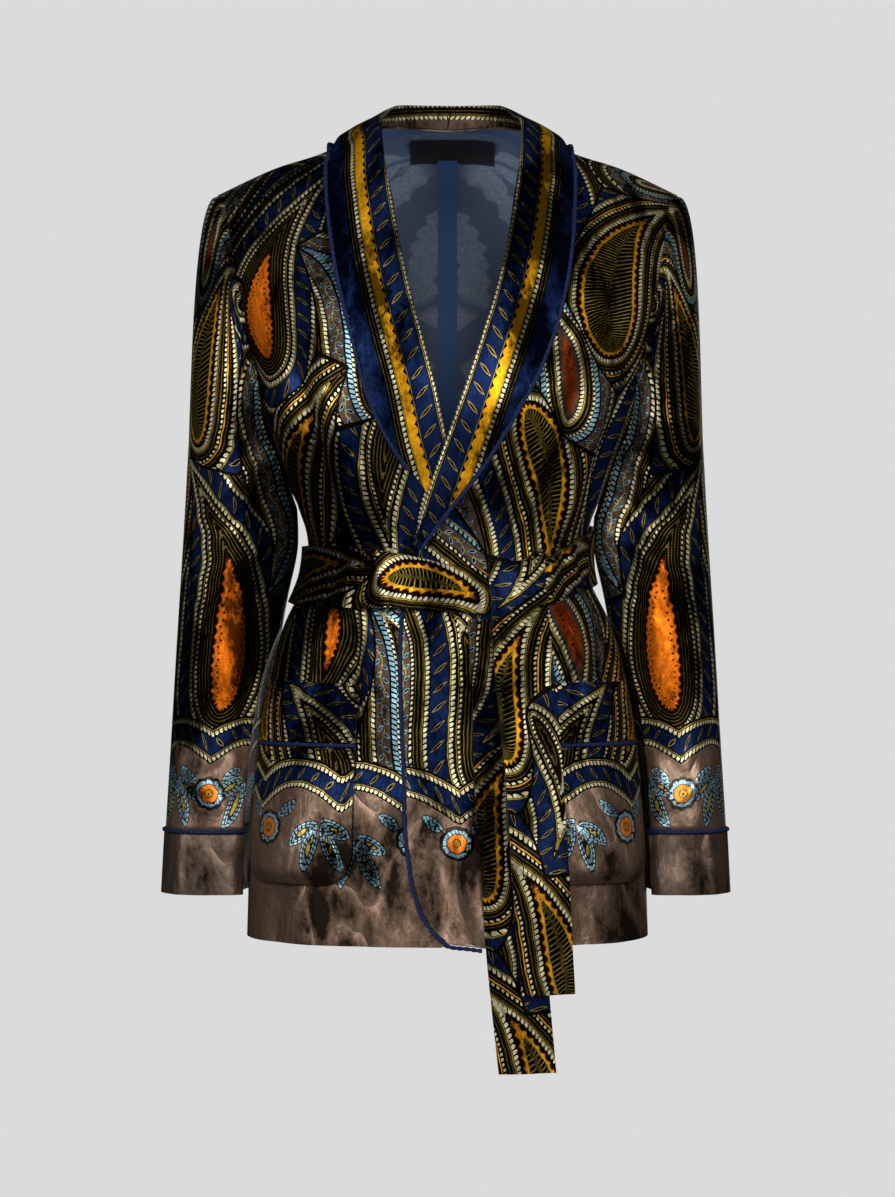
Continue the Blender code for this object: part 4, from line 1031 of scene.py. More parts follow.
def border_fields(flat, border):
    """Height above a scalloped border and the way along it, at the corners of the cells of a flat grid."""
    phase = (flat[..., 0] - border.start) / border.span
    height = flat[..., 1] - border.level - border.scallop * (np.abs(np.sin(math.pi * phase)) - 0.5)
    slope = border.scallop * math.pi / border.span * np.cos(math.pi * phase)
    return corners(height / np.hypot(1, slope)), corners(flat[..., 0] * BORDER_STRETCH)


def sprig_motifs(layout):
    """Leaf sprays and flowers below a border."""
    motifs = []
    for u, v in layout.sprays:
        for lean, length in SPRAY_LEAVES:
            x, y = leaning(lean) * length * SPRAY_LEAF_OUT
            motifs.append(Motif(LEAF, u + x, v + y, length, SPRAY_LEAF_WIDTH, lean, SPRAY_LEAF_CURL))
    for u, v in layout.flowers:
        motifs.append(Motif(FLOWER, u, v, FLOWER_SIZE, FLOWER_SIZE, 0, 0))
        for lean in FLOWER_LEAF_LEANS:
            x, y = leaning(lean) * FLOWER_LEAF_OUT
            leaf = Motif(LEAF, u + x, v + y, FLOWER_LEAF_LENGTH, FLOWER_LEAF_WIDTH, lean, FLOWER_LEAF_CURL)
            motifs.append(leaf)
    return motifs


def print_fields(flat, layout):
    """The three fields of the print for a piece whose points lie at flat in its cut."""
    d, s, gap, kind = motif_fields(flat, layout.motifs, teardrop)
    height, way = border_fields(flat, layout.border)
    fields = {
        "paisley": np.stack([d, s, gap], axis=-1),
        "border": np.stack([height, way, kind], axis=-1),
    }
    sprigs = sprig_motifs(layout)
    if sprigs:
        d, s, _, kind = motif_fields(flat, sprigs, sprig_outline)
        fields["sprig"] = np.stack([d, s, kind], axis=-1)
    else:
        fields["sprig"] = np.tile(np.array(PLAIN_FIELD["sprig"]), (len(kind), 4, 1))
    return fields


# Shaders

class Term:
    """A value in a shader. Arithmetic on it adds Math nodes."""

    def __init__(self, shader, socket):
        self.shader = shader
        self.socket = socket

    def math(self, operation, *others):
        """The result of a Math node on it and others."""
        return self.shader.node("Math", {"operation": operation}, dict(enumerate((self, *others))))

    def __add__(self, other):
        return self.math("ADD", other)

    __radd__ = __add__

    def __mul__(self, other):
        return self.math("MULTIPLY", other)

    __rmul__ = __mul__

    def __sub__(self, other):
        return self.math("SUBTRACT", other)

    def __rsub__(self, other):
        return self * -1 + other

    def __truediv__(self, other):
        return self.math("DIVIDE", other)

    def __lt__(self, other):
        return self.math("LESS_THAN", other)

    def __gt__(self, other):
        return self.math("GREATER_THAN", other)

    def __abs__(self):
        return self.math("ABSOLUTE")

    def part(self):
        """What is left of it after its whole number."""
        return self.math("FRACT")

    def wave(self):
        """Its sine."""
        return self.math("SINE")

    def clamped(self):
        """Itself between 0 and 1."""
        return self.math("MAXIMUM", 0.0).math("MINIMUM", 1.0)


class Shader:
    """The nodes of one material."""

    def __init__(self, name):
        self.material = bpy.data.materials.new(name)
        self.material.use_nodes = True
        self.tree = self.material.node_tree
        self.surface = self.tree.nodes["Principled BSDF"]

    def node(self, kind, settings=None, values=None, output=0):
        """Adds a node; stops and blend in its settings are a ramp's, and output picks what is given back."""
        made = self.tree.nodes.new("ShaderNode" + kind)
        for name, value in (settings or {}).items():
            if name == "stops":
                fill_ramp(made.color_ramp, value)
            elif name == "blend":
                made.color_ramp.interpolation = value
            else:
                setattr(made, name, value)
        for name, value in (values or {}).items():
            self.feed(made.inputs[name], value)
        if isinstance(output, tuple):
            return tuple(Term(self, made.outputs[k]) for k in output)
        return Term(self, made.outputs[output])

    def feed(self, socket, value):
        """Links a socket to a term, or sets it to a constant."""
        if isinstance(value, Term):
            self.tree.links.new(value.socket, socket)
        else:
            socket.default_value = value

    def mix(self, share, first, second):
        """A colour between two."""
        return self.node("Mix", {"data_type": "RGBA"}, {0: share, 6: first, 7: second}, output=2)

    def scaled(self, colour, by):
        """A colour made lighter or darker."""
        plain = colour if isinstance(colour, Term) else colour[:3]
        return self.node("VectorMath", {"operation": "SCALE"}, {0: plain, "Scale": by})

    def place(self):
        """Where a point lies in its piece's own coordinates."""
        return self.node("TexCoord", output=3)

    def noise(self, vector, scale, detail=2.0, roughness=0.5, distortion=0.0):
        """A cloudy value from 0 to 1."""
        return self.node("TexNoise", None, {
            "Vector": vector, "Scale": scale, "Detail": detail, "Roughness": roughness,
            "Distortion": distortion,
        })

    def field(self, name):
        """The three values of one of the print's fields."""
        read = self.node("Attribute", {"attribute_name": name}, output=1)
        return self.node("SeparateXYZ", None, {0: read}, output=(0, 1, 2))

    def finish(self, settings):
        """Feeds the surface: values of its sockets by name."""
        for name, value in settings.items():
            self.feed(self.surface.inputs[name], value)
        return self.material


def fill_ramp(ramp, stops):
    """Sets the stops of a colour ramp."""
    while len(ramp.elements) > 1:
        ramp.elements.remove(ramp.elements[-1])
    for k, (place, colour) in enumerate(stops):
        element = ramp.elements[0] if k == 0 else ramp.elements.new(place)
        element.position = place
        element.color = colour


def dye(red, green, blue):
    """A colour given in 0 to 255 as it looks on a screen."""
    linear = [((c / 255 + 0.055) / 1.055) ** 2.4 if c > 10 else c / 255 / 12.92 for c in (red, green, blue)]
    return (*linear, 1.0)


DYES = {
    "black": dye(7, 5, 4),
    "brown": dye(94, 75, 62),
    "umber": dye(70, 57, 48),
    "navy": dye(14, 28, 60),
    "gold": dye(206, 144, 22),
    "olive": dye(140, 120, 44),
    "thread": dye(96, 80, 30),
    "orange": dye(212, 106, 20),
    "rust": dye(120, 48, 12),
    "ivory": dye(204, 194, 156),
    "sky": dye(116, 154, 170),
}
# Bands round a motif or along an edge: a ground with marks of a second dye that fill a share of the way.
# The marks may be beads with round ends, and a lined band has fine threads running along it. Small leaves
# or a vine may run along its middle, with their reach to both sides.
Band = namedtuple(
    "Band", "width ground mark share round lined leaves vine",
    defaults=("black", 0.0, False, False, None, None),
)
Heart = namedtuple("Heart", "dye depth inner")
Bands = namedtuple("Bands", "start bands heart", defaults=(None,))
BEADS = Band(0.0033, "black", "ivory", 0.74, round=True)
SMALL_BEADS = Band(0.0021, "black", "ivory", 0.58, round=True)
BLUE_BEADS = Band(0.0028, "black", "sky", 0.70, round=True)
GOLD_DOTS = Band(0.0018, "black", "gold", 0.52)
LINE = Band(0.0008, "black")
THREAD = Band(0.0008, "olive")
BEAD_ROW = (LINE, BEADS, LINE, THREAD)
GOLD_LINE = Band(0.0012, "gold")
LOBED_STRIPE = Band(0.0094, "black")
MOTIF_START = -0.0450
PAISLEY_BANDS = (
    Bands(
        MOTIF_START,
        (
            Band(0.0190, "black"), Band(0.0138, "black", lined=True), SMALL_BEADS, LINE, THREAD,
            Band(0.0022, "black"), BEADS, LINE, THREAD, LINE, Band(0.0160, "navy", leaves=0.0062),
            *BEAD_ROW, Band(0.0085, "black", lined=True), SMALL_BEADS, LINE,
            Band(0.0120, "umber", vine=0.0055), LINE, BLUE_BEADS, LINE, THREAD, Band(0.0300, "navy"),
        ),
        Heart("orange", 0.0265, 0.2),
    ),
    Bands(
        MOTIF_START,
        (
            Band(0.0285, "black", "olive", 0.20), THREAD, Band(0.0056, "black"), *BEAD_ROW,
            Band(0.0072, "black", lined=True), SMALL_BEADS, LINE, GOLD_LINE,
            Band(0.0050, "black", lined=True), *BEAD_ROW, LINE, Band(0.0150, "navy", leaves=0.0060),
            *BEAD_ROW, Band(0.0070, "black", lined=True), Band(0.0198, "umber", vine=0.0070),
            Band(0.0202, "umber"),
        ),
        Heart("gold", 0.0108, 0.0157),
    ),
    Bands(
        MOTIF_START,
        (
            Band(0.0235, "umber"), *BEAD_ROW, Band(0.0070, "black", lined=True), SMALL_BEADS,
            LINE, Band(0.0038, "sky", "black", 0.36), Band(0.0016, "black"),
            Band(0.0125, "umber", vine=0.0056), *BEAD_ROW, Band(0.0096, "black", lined=True),
            SMALL_BEADS, LINE, Band(0.0150, "navy"), LINE, BLUE_BEADS, LINE, THREAD, Band(0.0400, "umber"),
        ),
        Heart("rust", 0.0225, 0.2),
    ),
)
BORDER_BANDS = Bands(
    0.0,
    (
        *BEAD_ROW, LINE, Band(0.0120, "navy", leaves=0.0050), *BEAD_ROW, Band(0.0100, "black"),
    ),
)
BORDER_WIDTH = 0.0262
SPRIG_BANDS = (
    Bands(
        -0.0100,
        (
            Band(0.0055, "olive"), Band(0.0012, "black"), Band(0.0011, "black", "sky", 0.55), LINE,
            Band(0.0014, "black", "sky", 0.70), LINE,
        ),
    ),
    Bands(
        -0.0160,
        (
            Band(0.0045, "black"), GOLD_DOTS, LINE, Band(0.0036, "orange"), LINE,
            Band(0.0026, "black", "sky", 0.74), LINE,
        ),
    ),
)
SPRIG_OUTLINE = 0.0009
COLLAR_BANDS = Bands(
    -0.0300,
    (
        Band(0.0150, "brown"), BEADS, LINE, THREAD, Band(0.0068, "black", lined=True), *BEAD_ROW, LINE,
        Band(0.0170, "navy", leaves=0.0066), THREAD, LOBED_STRIPE, THREAD, LINE, BEADS, LINE,
        Band(0.0060, "black", lined=True), Band(0.0500, "navy"),
    ),
)
# The collar's gold stripe, from and to its band's middle.
STRIPE_FROM = -0.0016
STRIPE_TO = 0.0046
LOBE = 0.0026
LOBE_SPAN = 0.0092
DIVIDER = 0.0020
# Leaves along a band: their spacing, half width, outline and slant.
LEAF_SPAN = 0.0170
LEAF_HALF = 0.0019
LEAF_LINE = 0.0007
LEAF_SLANT = 0.9
# A vine: one wave of its stem, the stem's half width, its leaves' spacing and slant, and the shares of its
# reach that the stem's wave, the leaves' middles and their halves take.
VINE_SPAN = 0.0300
VINE_STEM = 0.0004
VINE_LEAF = 0.0120
VINE_SLANT = 0.8
VINE_SWAY, VINE_LEAF_OUT, VINE_LEAF_REACH = 0.3, 0.45, 0.5
# Fine threads of a lined band: their pitch, share and slant, and the length and share of their stitches.
THREAD_PITCH = 0.0031
THREAD_SHARE = 0.24
THREAD_SLANT = 0.004
STITCH = 0.0023
STITCH_SHARE = 0.72
# Beads slant along their band, and their ends narrow over a quarter of it.
BEAD_SLANT = 0.45
BEAD_END = 0.25
BEAD_WIDE = (0.85, 0.0, 0.0, 1.0)
STEP_STOP = 1e-4
# Seeds inside a motif's heart: their depth below its edge, half width, spacing and share.
HEART_EDGE = 0.0010
SEED_DEPTH = 0.0052
SEED_HALF = 0.0010
SEED_SPAN = 0.0062
SEED_SHARE = 0.34
# How far the print strays from its lines, and the size of the straying.
STRAY = 0.0022
STRAY_SCALE = 75.0


def lobed(distance, way, depth=LOBE, span=LOBE_SPAN):
    """A distance that swells in lobes along the way."""
    return distance + depth * abs((way * (math.pi / span)).wave())


def band_colour(shader, bands, distance, way):
    """The dyes of bands at a distance, with their marks along the way."""
    span = sum(band.width for band in bands.bands)
    grounds, marks, forms = [], [], []
    place = 0.0
    for band in bands.bands:
        grounds.append((place / span, DYES[band.ground]))
        marks.append((place / span, (*DYES[band.mark][:3], band.share)))
        forms.append((place / span, (0.0 if band.round else 1.0, float(band.lined), 0.0, 1.0)))
        if band.round:
            forms.append(((place + band.width * BEAD_END) / span, BEAD_WIDE))
            forms.append(((place + band.width * (1 - BEAD_END)) / span, BEAD_WIDE))
        place += band.width
    share = (distance - bands.start) / span
    ground = shader.node("ValToRGB", {"stops": grounds, "blend": "CONSTANT"}, {0: share})
    mark, filled = shader.node("ValToRGB", {"stops": marks, "blend": "CONSTANT"}, {0: share}, output=(0, 1))
    form = shader.node("ValToRGB", {"stops": joined_stops(forms), "blend": "LINEAR"}, {0: share})
    narrowed, lined, _ = shader.node("SeparateColor", None, {0: form}, output=(0, 1, 2))
    along = ((way + distance * BEAD_SLANT) / BEAD).part()
    colour = shader.mix(abs(along - 0.5) * 2.0 < filled * narrowed, ground, mark)
    across = (distance / THREAD_PITCH).part()
    stitched = ((way + across * THREAD_SLANT) / STITCH).part() < STITCH_SHARE
    threads = (across < THREAD_SHARE) * stitched * (lined > 0.5)
    colour = shader.mix(threads, colour, DYES["thread"])
    if bands.heart:
        colour = heart_colour(shader, colour, bands.heart, distance, way)
    for band in bands.bands:
        if band.leaves:
            colour = small_leaves(shader, colour, distance - band_middle(bands, band), way, band.leaves)
        if band.vine:
            colour = vine(shader, colour, distance - band_middle(bands, band), way, band.vine)
    return colour


def heart_colour(shader, colour, heart, distance, way):
    """A lobed heart inside a motif, with a rust edge and a row of seeds."""
    wavy = lobed(distance, way)
    shown = distance > -heart.inner
    colour = shader.mix((wavy < -heart.depth) * shown, colour, DYES["rust"])
    colour = shader.mix((wavy < -heart.depth - HEART_EDGE) * shown, colour, DYES[heart.dye])
    seeds = (abs(wavy + heart.depth + SEED_DEPTH) < SEED_HALF) * ((way / SEED_SPAN).part() < SEED_SHARE)
    return shader.mix(seeds * shown, colour, DYES["black"])


def band_middle(bands, band):
    """The distance at the middle of one band."""
    before = bands.bands[:bands.bands.index(band)]
    return bands.start + sum(other.width for other in before) + band.width / 2


def joined_stops(stops):
    """Stops for a blending ramp that changes only inside its round bands."""
    joined = stops[:1]
    for place, colour in stops[1:]:
        last = joined[-1][1]
        if colour == last:
            continue
        leaves_bead = 0 < last[0] < 1 and colour[0] == 1.0
        if colour[0] in (0.0, 1.0) and not leaves_bead:
            joined.append((place - STEP_STOP, last))
        joined.append((place, colour))
    return joined


def leaf_row(shader, colour, outline, along, span, out, reach):
    """Slender outlined leaves, one to each span of the way."""
    across = abs((along / span).part() - 0.5) * span
    slender = LEAF_HALF * (1 - (out / reach) * (out / reach))
    colour = shader.mix(across < slender, colour, DYES[outline])
    return shader.mix(across < slender - LEAF_LINE, colour, DYES["black"])


def small_leaves(shader, colour, off, way, reach):
    """Slanting leaves with olive outlines along the middle of a plain band."""
    return leaf_row(shader, colour, "olive", way + off * LEAF_SLANT, LEAF_SPAN, off, reach)


def vine(shader, colour, off, way, reach):
    """A waving stem with pale leaves on both sides along the middle of a plain band."""
    stem = abs(off - (way * (2 * math.pi / VINE_SPAN)).wave() * (reach * VINE_SWAY)) < VINE_STEM
    for side in (1, -1):
        along = way - off * (side * VINE_SLANT) + side * VINE_LEAF / 4
        out = off * side - reach * VINE_LEAF_OUT
        colour = leaf_row(shader, colour, "sky", along, VINE_LEAF, out, reach * VINE_LEAF_REACH)
    return shader.mix(stem, colour, DYES["olive"])


def hand_drawn(shader, value, size=STRAY):
    """A value that strays a little, as in a print cut by hand."""
    return value + (shader.noise(shader.place(), STRAY_SCALE) - 0.5) * size


def paisley_colour(shader):
    """The dyes of the printed velvet, and where it is plain."""
    distance, way, gap = shader.field("paisley")
    distance = hand_drawn(shader, distance)
    height, border_way, kind = shader.field("border")
    height = hand_drawn(shader, height)
    colour = band_colour(shader, PAISLEY_BANDS[FLAME], distance, way)
    for other in (GOLD, BLUE):
        dyed = band_colour(shader, PAISLEY_BANDS[other], distance, way)
        colour = shader.mix(kind > other - 0.5, colour, dyed)
    colour = shader.mix(gap < DIVIDER, colour, DYES["black"])
    edge = band_colour(shader, BORDER_BANDS, height, border_way)
    colour = shader.mix(height < BORDER_WIDTH, colour, edge)
    plain = height < 0
    colour = shader.mix(plain, colour, DYES["brown"])
    distance, way, kind = shader.field("sprig")
    leaf = band_colour(shader, SPRIG_BANDS[LEAF], distance, way)
    flower = band_colour(shader, SPRIG_BANDS[FLOWER], distance, way)
    sprig = shader.mix(kind > 0.5, leaf, flower)
    return shader.mix(distance < SPRIG_OUTLINE, colour, sprig), plain


def collar_colour(shader):
    """The dyes of the collar: bands along its roll, with a lobed gold stripe. No part of it is plain."""
    distance, way, _ = shader.field("paisley")
    colour = band_colour(shader, COLLAR_BANDS, distance, way)
    middle = band_middle(COLLAR_BANDS, LOBED_STRIPE)
    stripe = (lobed(distance, way) > middle + STRIPE_FROM) * (distance < middle + STRIPE_TO)
    return shader.mix(stripe, colour, DYES["gold"]), 0.0


def cuff_shaded_colour(shader):
    """Umber for the cuffs, which are plain all over: the hem's brown darkened as painted shade."""
    return DYES["umber"], 1.0


# How the pile lies, on printed and on plain cloth: sharpness of its pressed patches, how far the colour is
# scaled from standing to pressed pile (painted shade where low, painted sheen where high), shine of the
# standing pile and what pressing adds, and the share of a pale painted highlight where it is pressed most.
Nap = namedtuple("Nap", "sharp low high standing pressed pale")
PRINTED_NAP = Nap(3.4, 0.10, 1.70, 0.40, 0.34, 0.006)
PLAIN_NAP = Nap(2.5, 0.13, 2.35, 0.42, 0.42, 0.14)
# The pale colour of a painted highlight on the pressed pile.
PAINTED_HIGHLIGHT_PALE = dye(184, 164, 146)
# Unevenness of the pile by scale, detail, roughness and distortion, from the broadest to the finest.
PILE_STRETCH = (1.0, 1.0, 0.55)
BROAD = (10.0, 1.0, 0.50, 0.7)
CRUMPLED = (15.0, 2.0, 0.45, 0.5)
PATCHES = (34.0, 4.0, 0.55, 0.25)
MOTTLE = (210.0, 3.0, 0.65, 0.2)
GRAIN = (850.0, 2.0, 0.6)
# Plain velvet is crumpled: how sharp its creases are, and how far their lines count as pressed pile, which
# paints a highlight along them and raises their gloss.
CREASE_SHARP = 15.0
CREASE_SHEEN_SHARE = 0.55
# How far the belt's colours are darkened: painted shade, and the darker share of its print.
BELT_DARKENING = 0.60


def velvet(name, colour_of, darkening=1.0):
    """Velvet whose pile is pressed in shining patches and dark between them, through its gloss and through
    painted sheen and painted shade in its colour; the last argument darkens its colours, as painted shade
    and darker print.
    """
    shader = Shader(name)
    colour, plain = colour_of(shader)
    nap = Nap(*(plain * (b - a) + a for a, b in zip(PRINTED_NAP, PLAIN_NAP)))
    place = shader.place()
    leant = shader.node("VectorMath", {"operation": "MULTIPLY"}, {0: place, 1: PILE_STRETCH})
    broad, crumpled, patches, mottle = (
        shader.noise(leant, *unevenness) for unevenness in (BROAD, CRUMPLED, PATCHES, MOTTLE)
    )
    grain = shader.noise(place, *GRAIN)
    ridge = abs(crumpled - 0.5)
    # Thin lines along the bump's creases on plain velvet, where a highlight is painted into the colour.
    crease_sheen = (1.0 - ridge * CREASE_SHARP).math("MAXIMUM", 0.0) * plain
    uneven = broad * 0.90 + patches * 0.70 + mottle * 0.40 - 0.86
    pressed = (uneven * nap.sharp + crease_sheen * CREASE_SHEEN_SHARE).clamped()
    # Painted sheen and shade: the colour is brightened where the pile is pressed and darkened where it
    # stands, and varied by the fine pile grain.
    sheen_and_shade_tone = (pressed * (nap.high - nap.low) + nap.low) * (grain * 1.6 + 0.20) * darkening
    colour = shader.scaled(colour, sheen_and_shade_tone)
    # Painted highlight: the pale colour mixed in where the pile is pressed most.
    colour = shader.mix(pressed * pressed * nap.pale, colour, PAINTED_HIGHLIGHT_PALE)
    folds = (ridge * 0.014 + broad * 0.008) * plain
    height = folds + patches * 0.0030 + mottle * 0.00018 + grain * 0.00010
    bump = shader.node("Bump", None, {"Strength": 1.0, "Distance": 1.0, "Height": height})
    return shader.finish({
        "Base Color": colour,
        "Metallic": pressed * nap.pressed + nap.standing,
        "Roughness": 0.54 - pressed * 0.15,
        "Normal": bump,
        "Specular IOR Level": 0.03,
        "Specular Tint": dye(90, 90, 90),
        "Sheen Weight": 0.004,
        "Sheen Roughness": 0.40,
        "Sheen Tint": dye(205, 196, 190),
    })


def cord_finish():
    """Twisted cord of fine navy yarn."""
    shader = Shader("navy_cord_finish")
    place = shader.place()
    yarn = shader.noise(place, 1500.0, roughness=0.6)
    worn = shader.noise(place, 60.0)
    colour = shader.mix(yarn * 0.7 + worn * 0.3, dye(8, 13, 32), dye(32, 48, 94))
    bump = shader.node("Bump", None, {"Strength": 0.4, "Distance": 0.0003, "Height": yarn})
    return shader.finish({
        "Base Color": colour, "Roughness": 0.62 + yarn * 0.2, "Normal": bump, "Specular IOR Level": 0.15,
    })


# The print's back on the lining: scalloped rings round its motifs, which fade where motifs meet.
LINING_DYES = (dye(44, 80, 134), dye(62, 104, 164))
SHEER_DYES = (dye(66, 82, 108), dye(92, 110, 138))
RING_DYE = dye(184, 196, 212)
RING_STRENGTH = 0.62
RING_STRAY = 0.0080
RING_LOBE = 1.6 * LOBE
RING_LOBE_SPAN = 0.021
RING_SPAN = 0.042
RING_SHARP = 3.0
RING_FADE = 120.0


def lining_finish(name, dyes, printed=False):
    """Thin lining between two dyes; a printed one lets the back of the cloth's print show faintly."""
    shader = Shader(name)
    place = shader.place()
    weave = shader.noise(place, 1400.0)
    cloud = shader.noise(place, 14.0)
    colour = shader.mix(weave * 0.6 + cloud * 0.4, *dyes)
    if printed:
        distance, way, gap = shader.field("paisley")
        scalloped = lobed(hand_drawn(shader, distance, RING_STRAY), way, RING_LOBE, RING_LOBE_SPAN)
        rings = ((scalloped * (2 * math.pi / RING_SPAN)).wave() * RING_SHARP).clamped()
        speckle = shader.noise(place, 300.0, 3.0, 0.7)
        showing = rings * (gap * RING_FADE).math("MINIMUM", 1.0) * (speckle * 1.4 - 0.2)
        colour = shader.mix(showing * RING_STRENGTH, colour, RING_DYE)
    bump = shader.node("Bump", None, {"Strength": 0.25, "Distance": 0.0003, "Height": weave})
    return shader.finish({
        "Base Color": colour, "Roughness": 0.66 - cloud * 0.12, "Normal": bump, "Sheen Weight": 0.10,
    })


def label_finish():
    """Bare black woven label with fine ribs."""
    shader = Shader("black_label_finish")
    place = shader.place()
    z = shader.node("SeparateXYZ", None, {0: place}, output=2)
    ribs = (z * LABEL_RIBS).wave() * 0.5 + 0.5
    fibre = shader.noise(place, 1200.0)
    colour = shader.mix(ribs * 0.4 + fibre * 0.4, dye(16, 16, 18), dye(40, 40, 44))
    bump = shader.node("Bump", None, {"Strength": 0.4, "Distance": 0.0002, "Height": ribs})
    return shader.finish({"Base Color": colour, "Roughness": 0.50 + fibre * 0.2, "Normal": bump})


PRINTED = velvet("printed_velvet_finish", paisley_colour)
COLLAR_PRINTED = velvet("collar_velvet_finish", collar_colour)
# The belt's velvet, darkened as painted shade and for its darker print.
BELT_PRINTED = velvet("belt_velvet_finish", paisley_colour, BELT_DARKENING)
# The cuffs' velvet, umber in place of brown as painted shade.
BROWN = velvet("brown_velvet_finish", cuff_shaded_colour)
CORD = cord_finish()
LINING = lining_finish("navy_lining_finish", LINING_DYES)
BACK_LINING = lining_finish("sheer_lining_finish", SHEER_DYES, printed=True)
LABEL = label_finish()


# Body panels

def neck_up(x):
    """The distance up the back of the neckline at x."""
    depth = NECK_BACK_DEPTH * math.sqrt(max(0.0, 1 - (x / NECK_HALF_WIDTH) ** 2))
    top = FINE_STATIONS > ARMPIT
    return float(np.interp(-depth, -FINE_BODY[top, 4], FINE_STATIONS[top]))


def half_seam_turn(up):
    """The angle that half of a closed seam takes at the side."""
    return (CLOSED_SEAM / max(float(BODY_AT(up)[3]), LEAST_DEPTH)) ** (ROUNDNESS / 2)


def front_edge_turn(up, side):
    """Where an edge of the fronts crosses a row; side is 0 on the left and 1 on the right."""
    x = 0.0
    for _ in range(EDGE_TRIES):
        z = float(bare_body(turn_of(x, up), up)[2])
        x = float(edge_at(z)[side]) + EDGE_SETBACK * float(ease(z, *EDGE_SETBACK_LEVELS))
    return turn_of(x, up)


def panel_rows(extra=()):
    """Distances up the body of a panel's rows, closer together at the hem's corners."""
    corner_top = up_of(0.0, HEM_CORNER)
    near_hem = corner_top * np.linspace(0, 1, HEM_ROWS, endpoint=False) ** HEM_ROW_GROWTH
    upper = np.linspace(corner_top, RIDGE - SEAM_GAP / 2, round((RIDGE - corner_top) / SPACING))
    return np.sort(np.concatenate([near_hem, upper, extra]))


def front_cut(side):
    """Turns, distances up and flat cut of a front, all counted outwards from the centre.

    side is 0 on the left and 1 on the right.
    """
    ups = panel_rows()
    turns = np.array([
        np.linspace(front_edge_turn(up, side), arm_turn(up, 1) - half_seam_turn(up), PANEL_COLUMNS)
        for up in ups
    ])
    ups = np.repeat(ups[:, None], PANEL_COLUMNS, axis=1)
    bare = bare_body(turns, ups)
    return turns, ups, np.stack([bare[:, :1, 0] + row_way(bare), ups], axis=-1)


def make_fronts():
    """Both fronts; the left one is lifted where it laps over the right one."""
    for name, side, layout in (("left", 1, LEFT_FRONT_PRINT), ("right", -1, RIGHT_FRONT_PRINT)):
        turns, ups, flat = front_cut(0 if side > 0 else 1)
        bare = bare_body(turns, ups)
        lift = lap(bare[..., 0], bare[..., 2]) if side > 0 else 0.0
        outer, inner = (body(side * turns, ups, lift - deep) for deep in (0.0, VELVET))
        fields = print_fields(flat, layout)
        cloth(
            f"front_{name}", outer, inner, PRINTED, LINING,
            fields=fields,
        )


def back_inner_turn(up):
    """Where a back half ends: at the centre seam, or at the neck on the rows above it."""
    depth = float(BODY_AT(up)[4])
    if depth >= NECK_BACK_DEPTH or up < ARMPIT:
        return turn_of(CLOSED_SEAM, up, -1)
    x = NECK_HALF_WIDTH * math.sqrt(1 - (depth / NECK_BACK_DEPTH) ** 2)
    return turn_of(max(x, SEAM_GAP), up, -1)


def back_turns(ups, columns, reach=1.0):
    """Turns of a back half's points on the wearer's left, over a share of its width from the centre."""
    rows = []
    for up in ups:
        inner = back_inner_turn(up)
        outer = arm_turn(up, -1) + half_seam_turn(up)
        rows.append(np.linspace(inner + (outer - inner) * reach, inner, columns))
    return np.array(rows)


def make_backs():
    """Both back halves; the right one mirrors the left one."""
    rows = panel_rows([neck_up(0.0)])
    turns = back_turns(rows, PANEL_COLUMNS)
    ups = np.repeat(rows[:, None], PANEL_COLUMNS, axis=1)
    bare = bare_body(turns, ups)
    way = row_way(bare)
    flat = np.stack([bare[:, -1:, 0] + way[:, -1:] - way, ups], axis=-1)
    fields = print_fields(flat, BACK_PRINT)
    for name, side in (("back_left", 1), ("back_right", -1)):
        outer, inner = body(side * turns, ups), body(side * turns, ups, -VELVET)
        cloth(name, outer, inner, PRINTED, LINING, fields=fields)


# Sleeves and cuffs

def armhole():
    """The left armhole's line, just clear of the panels, and the seam's turning under them.

    Both run from the armpit up the back and down the front.
    """
    half = SLEEVE_SIDES // 2
    ups = np.linspace(ARMPIT, RIDGE, half + 1)
    front = [(arm_turn(up, 1), up) for up in ups]
    back = [(arm_turn(up, -1), up) for up in ups]
    turns, ups = np.array(front[::-1] + back[1:-1]).T
    line = body(turns, ups)
    along = unit(np.roll(line, -1, axis=0) - np.roll(line, 1, axis=0))
    outward = body_normal(turns, np.minimum(ups, RIDGE - RIDGE_BEND))
    away = np.cross(outward, along)
    low = (1 - np.cos(2 * np.pi * np.arange(SLEEVE_SIDES) / SLEEVE_SIDES))[:, None] / 2
    seam = line + ARMHOLE_GAP * (away * (2 - low) + outward * low)
    under = line - SEAM_TURNING * away - 2 * VELVET * outward
    # The point on the shoulder's ridge lies between its neighbours.
    seam[0] = (seam[1] + seam[-1]) / 2
    under[0] = (under[1] + under[-1]) / 2 - (0, 0, RIDGE_TUCK)
    return np.roll(seam, half, axis=0), np.roll(under, half, axis=0)


SLEEVE_TURNS = np.linspace(-math.pi, math.pi, SLEEVE_SIDES, endpoint=False)


def kept_clear(points, clearance):
    """Sleeve points pushed out from the body where they would touch it."""
    x, y, z = np.moveaxis(points, -1, 0)
    _, _, half_width, front, back, _ = np.moveaxis(BODY_AT(centre_up(z)), -1, 0)
    share = np.minimum(1, np.abs(y) / np.where(y < 0, front, back))
    side = half_width * (1 - share**ROUNDNESS) ** (1 / ROUNDNESS)
    x = np.where(z > BODY[ARMPIT_ROW].height, x, np.maximum(x, side + clearance))
    return np.stack([x, y, z], axis=-1)


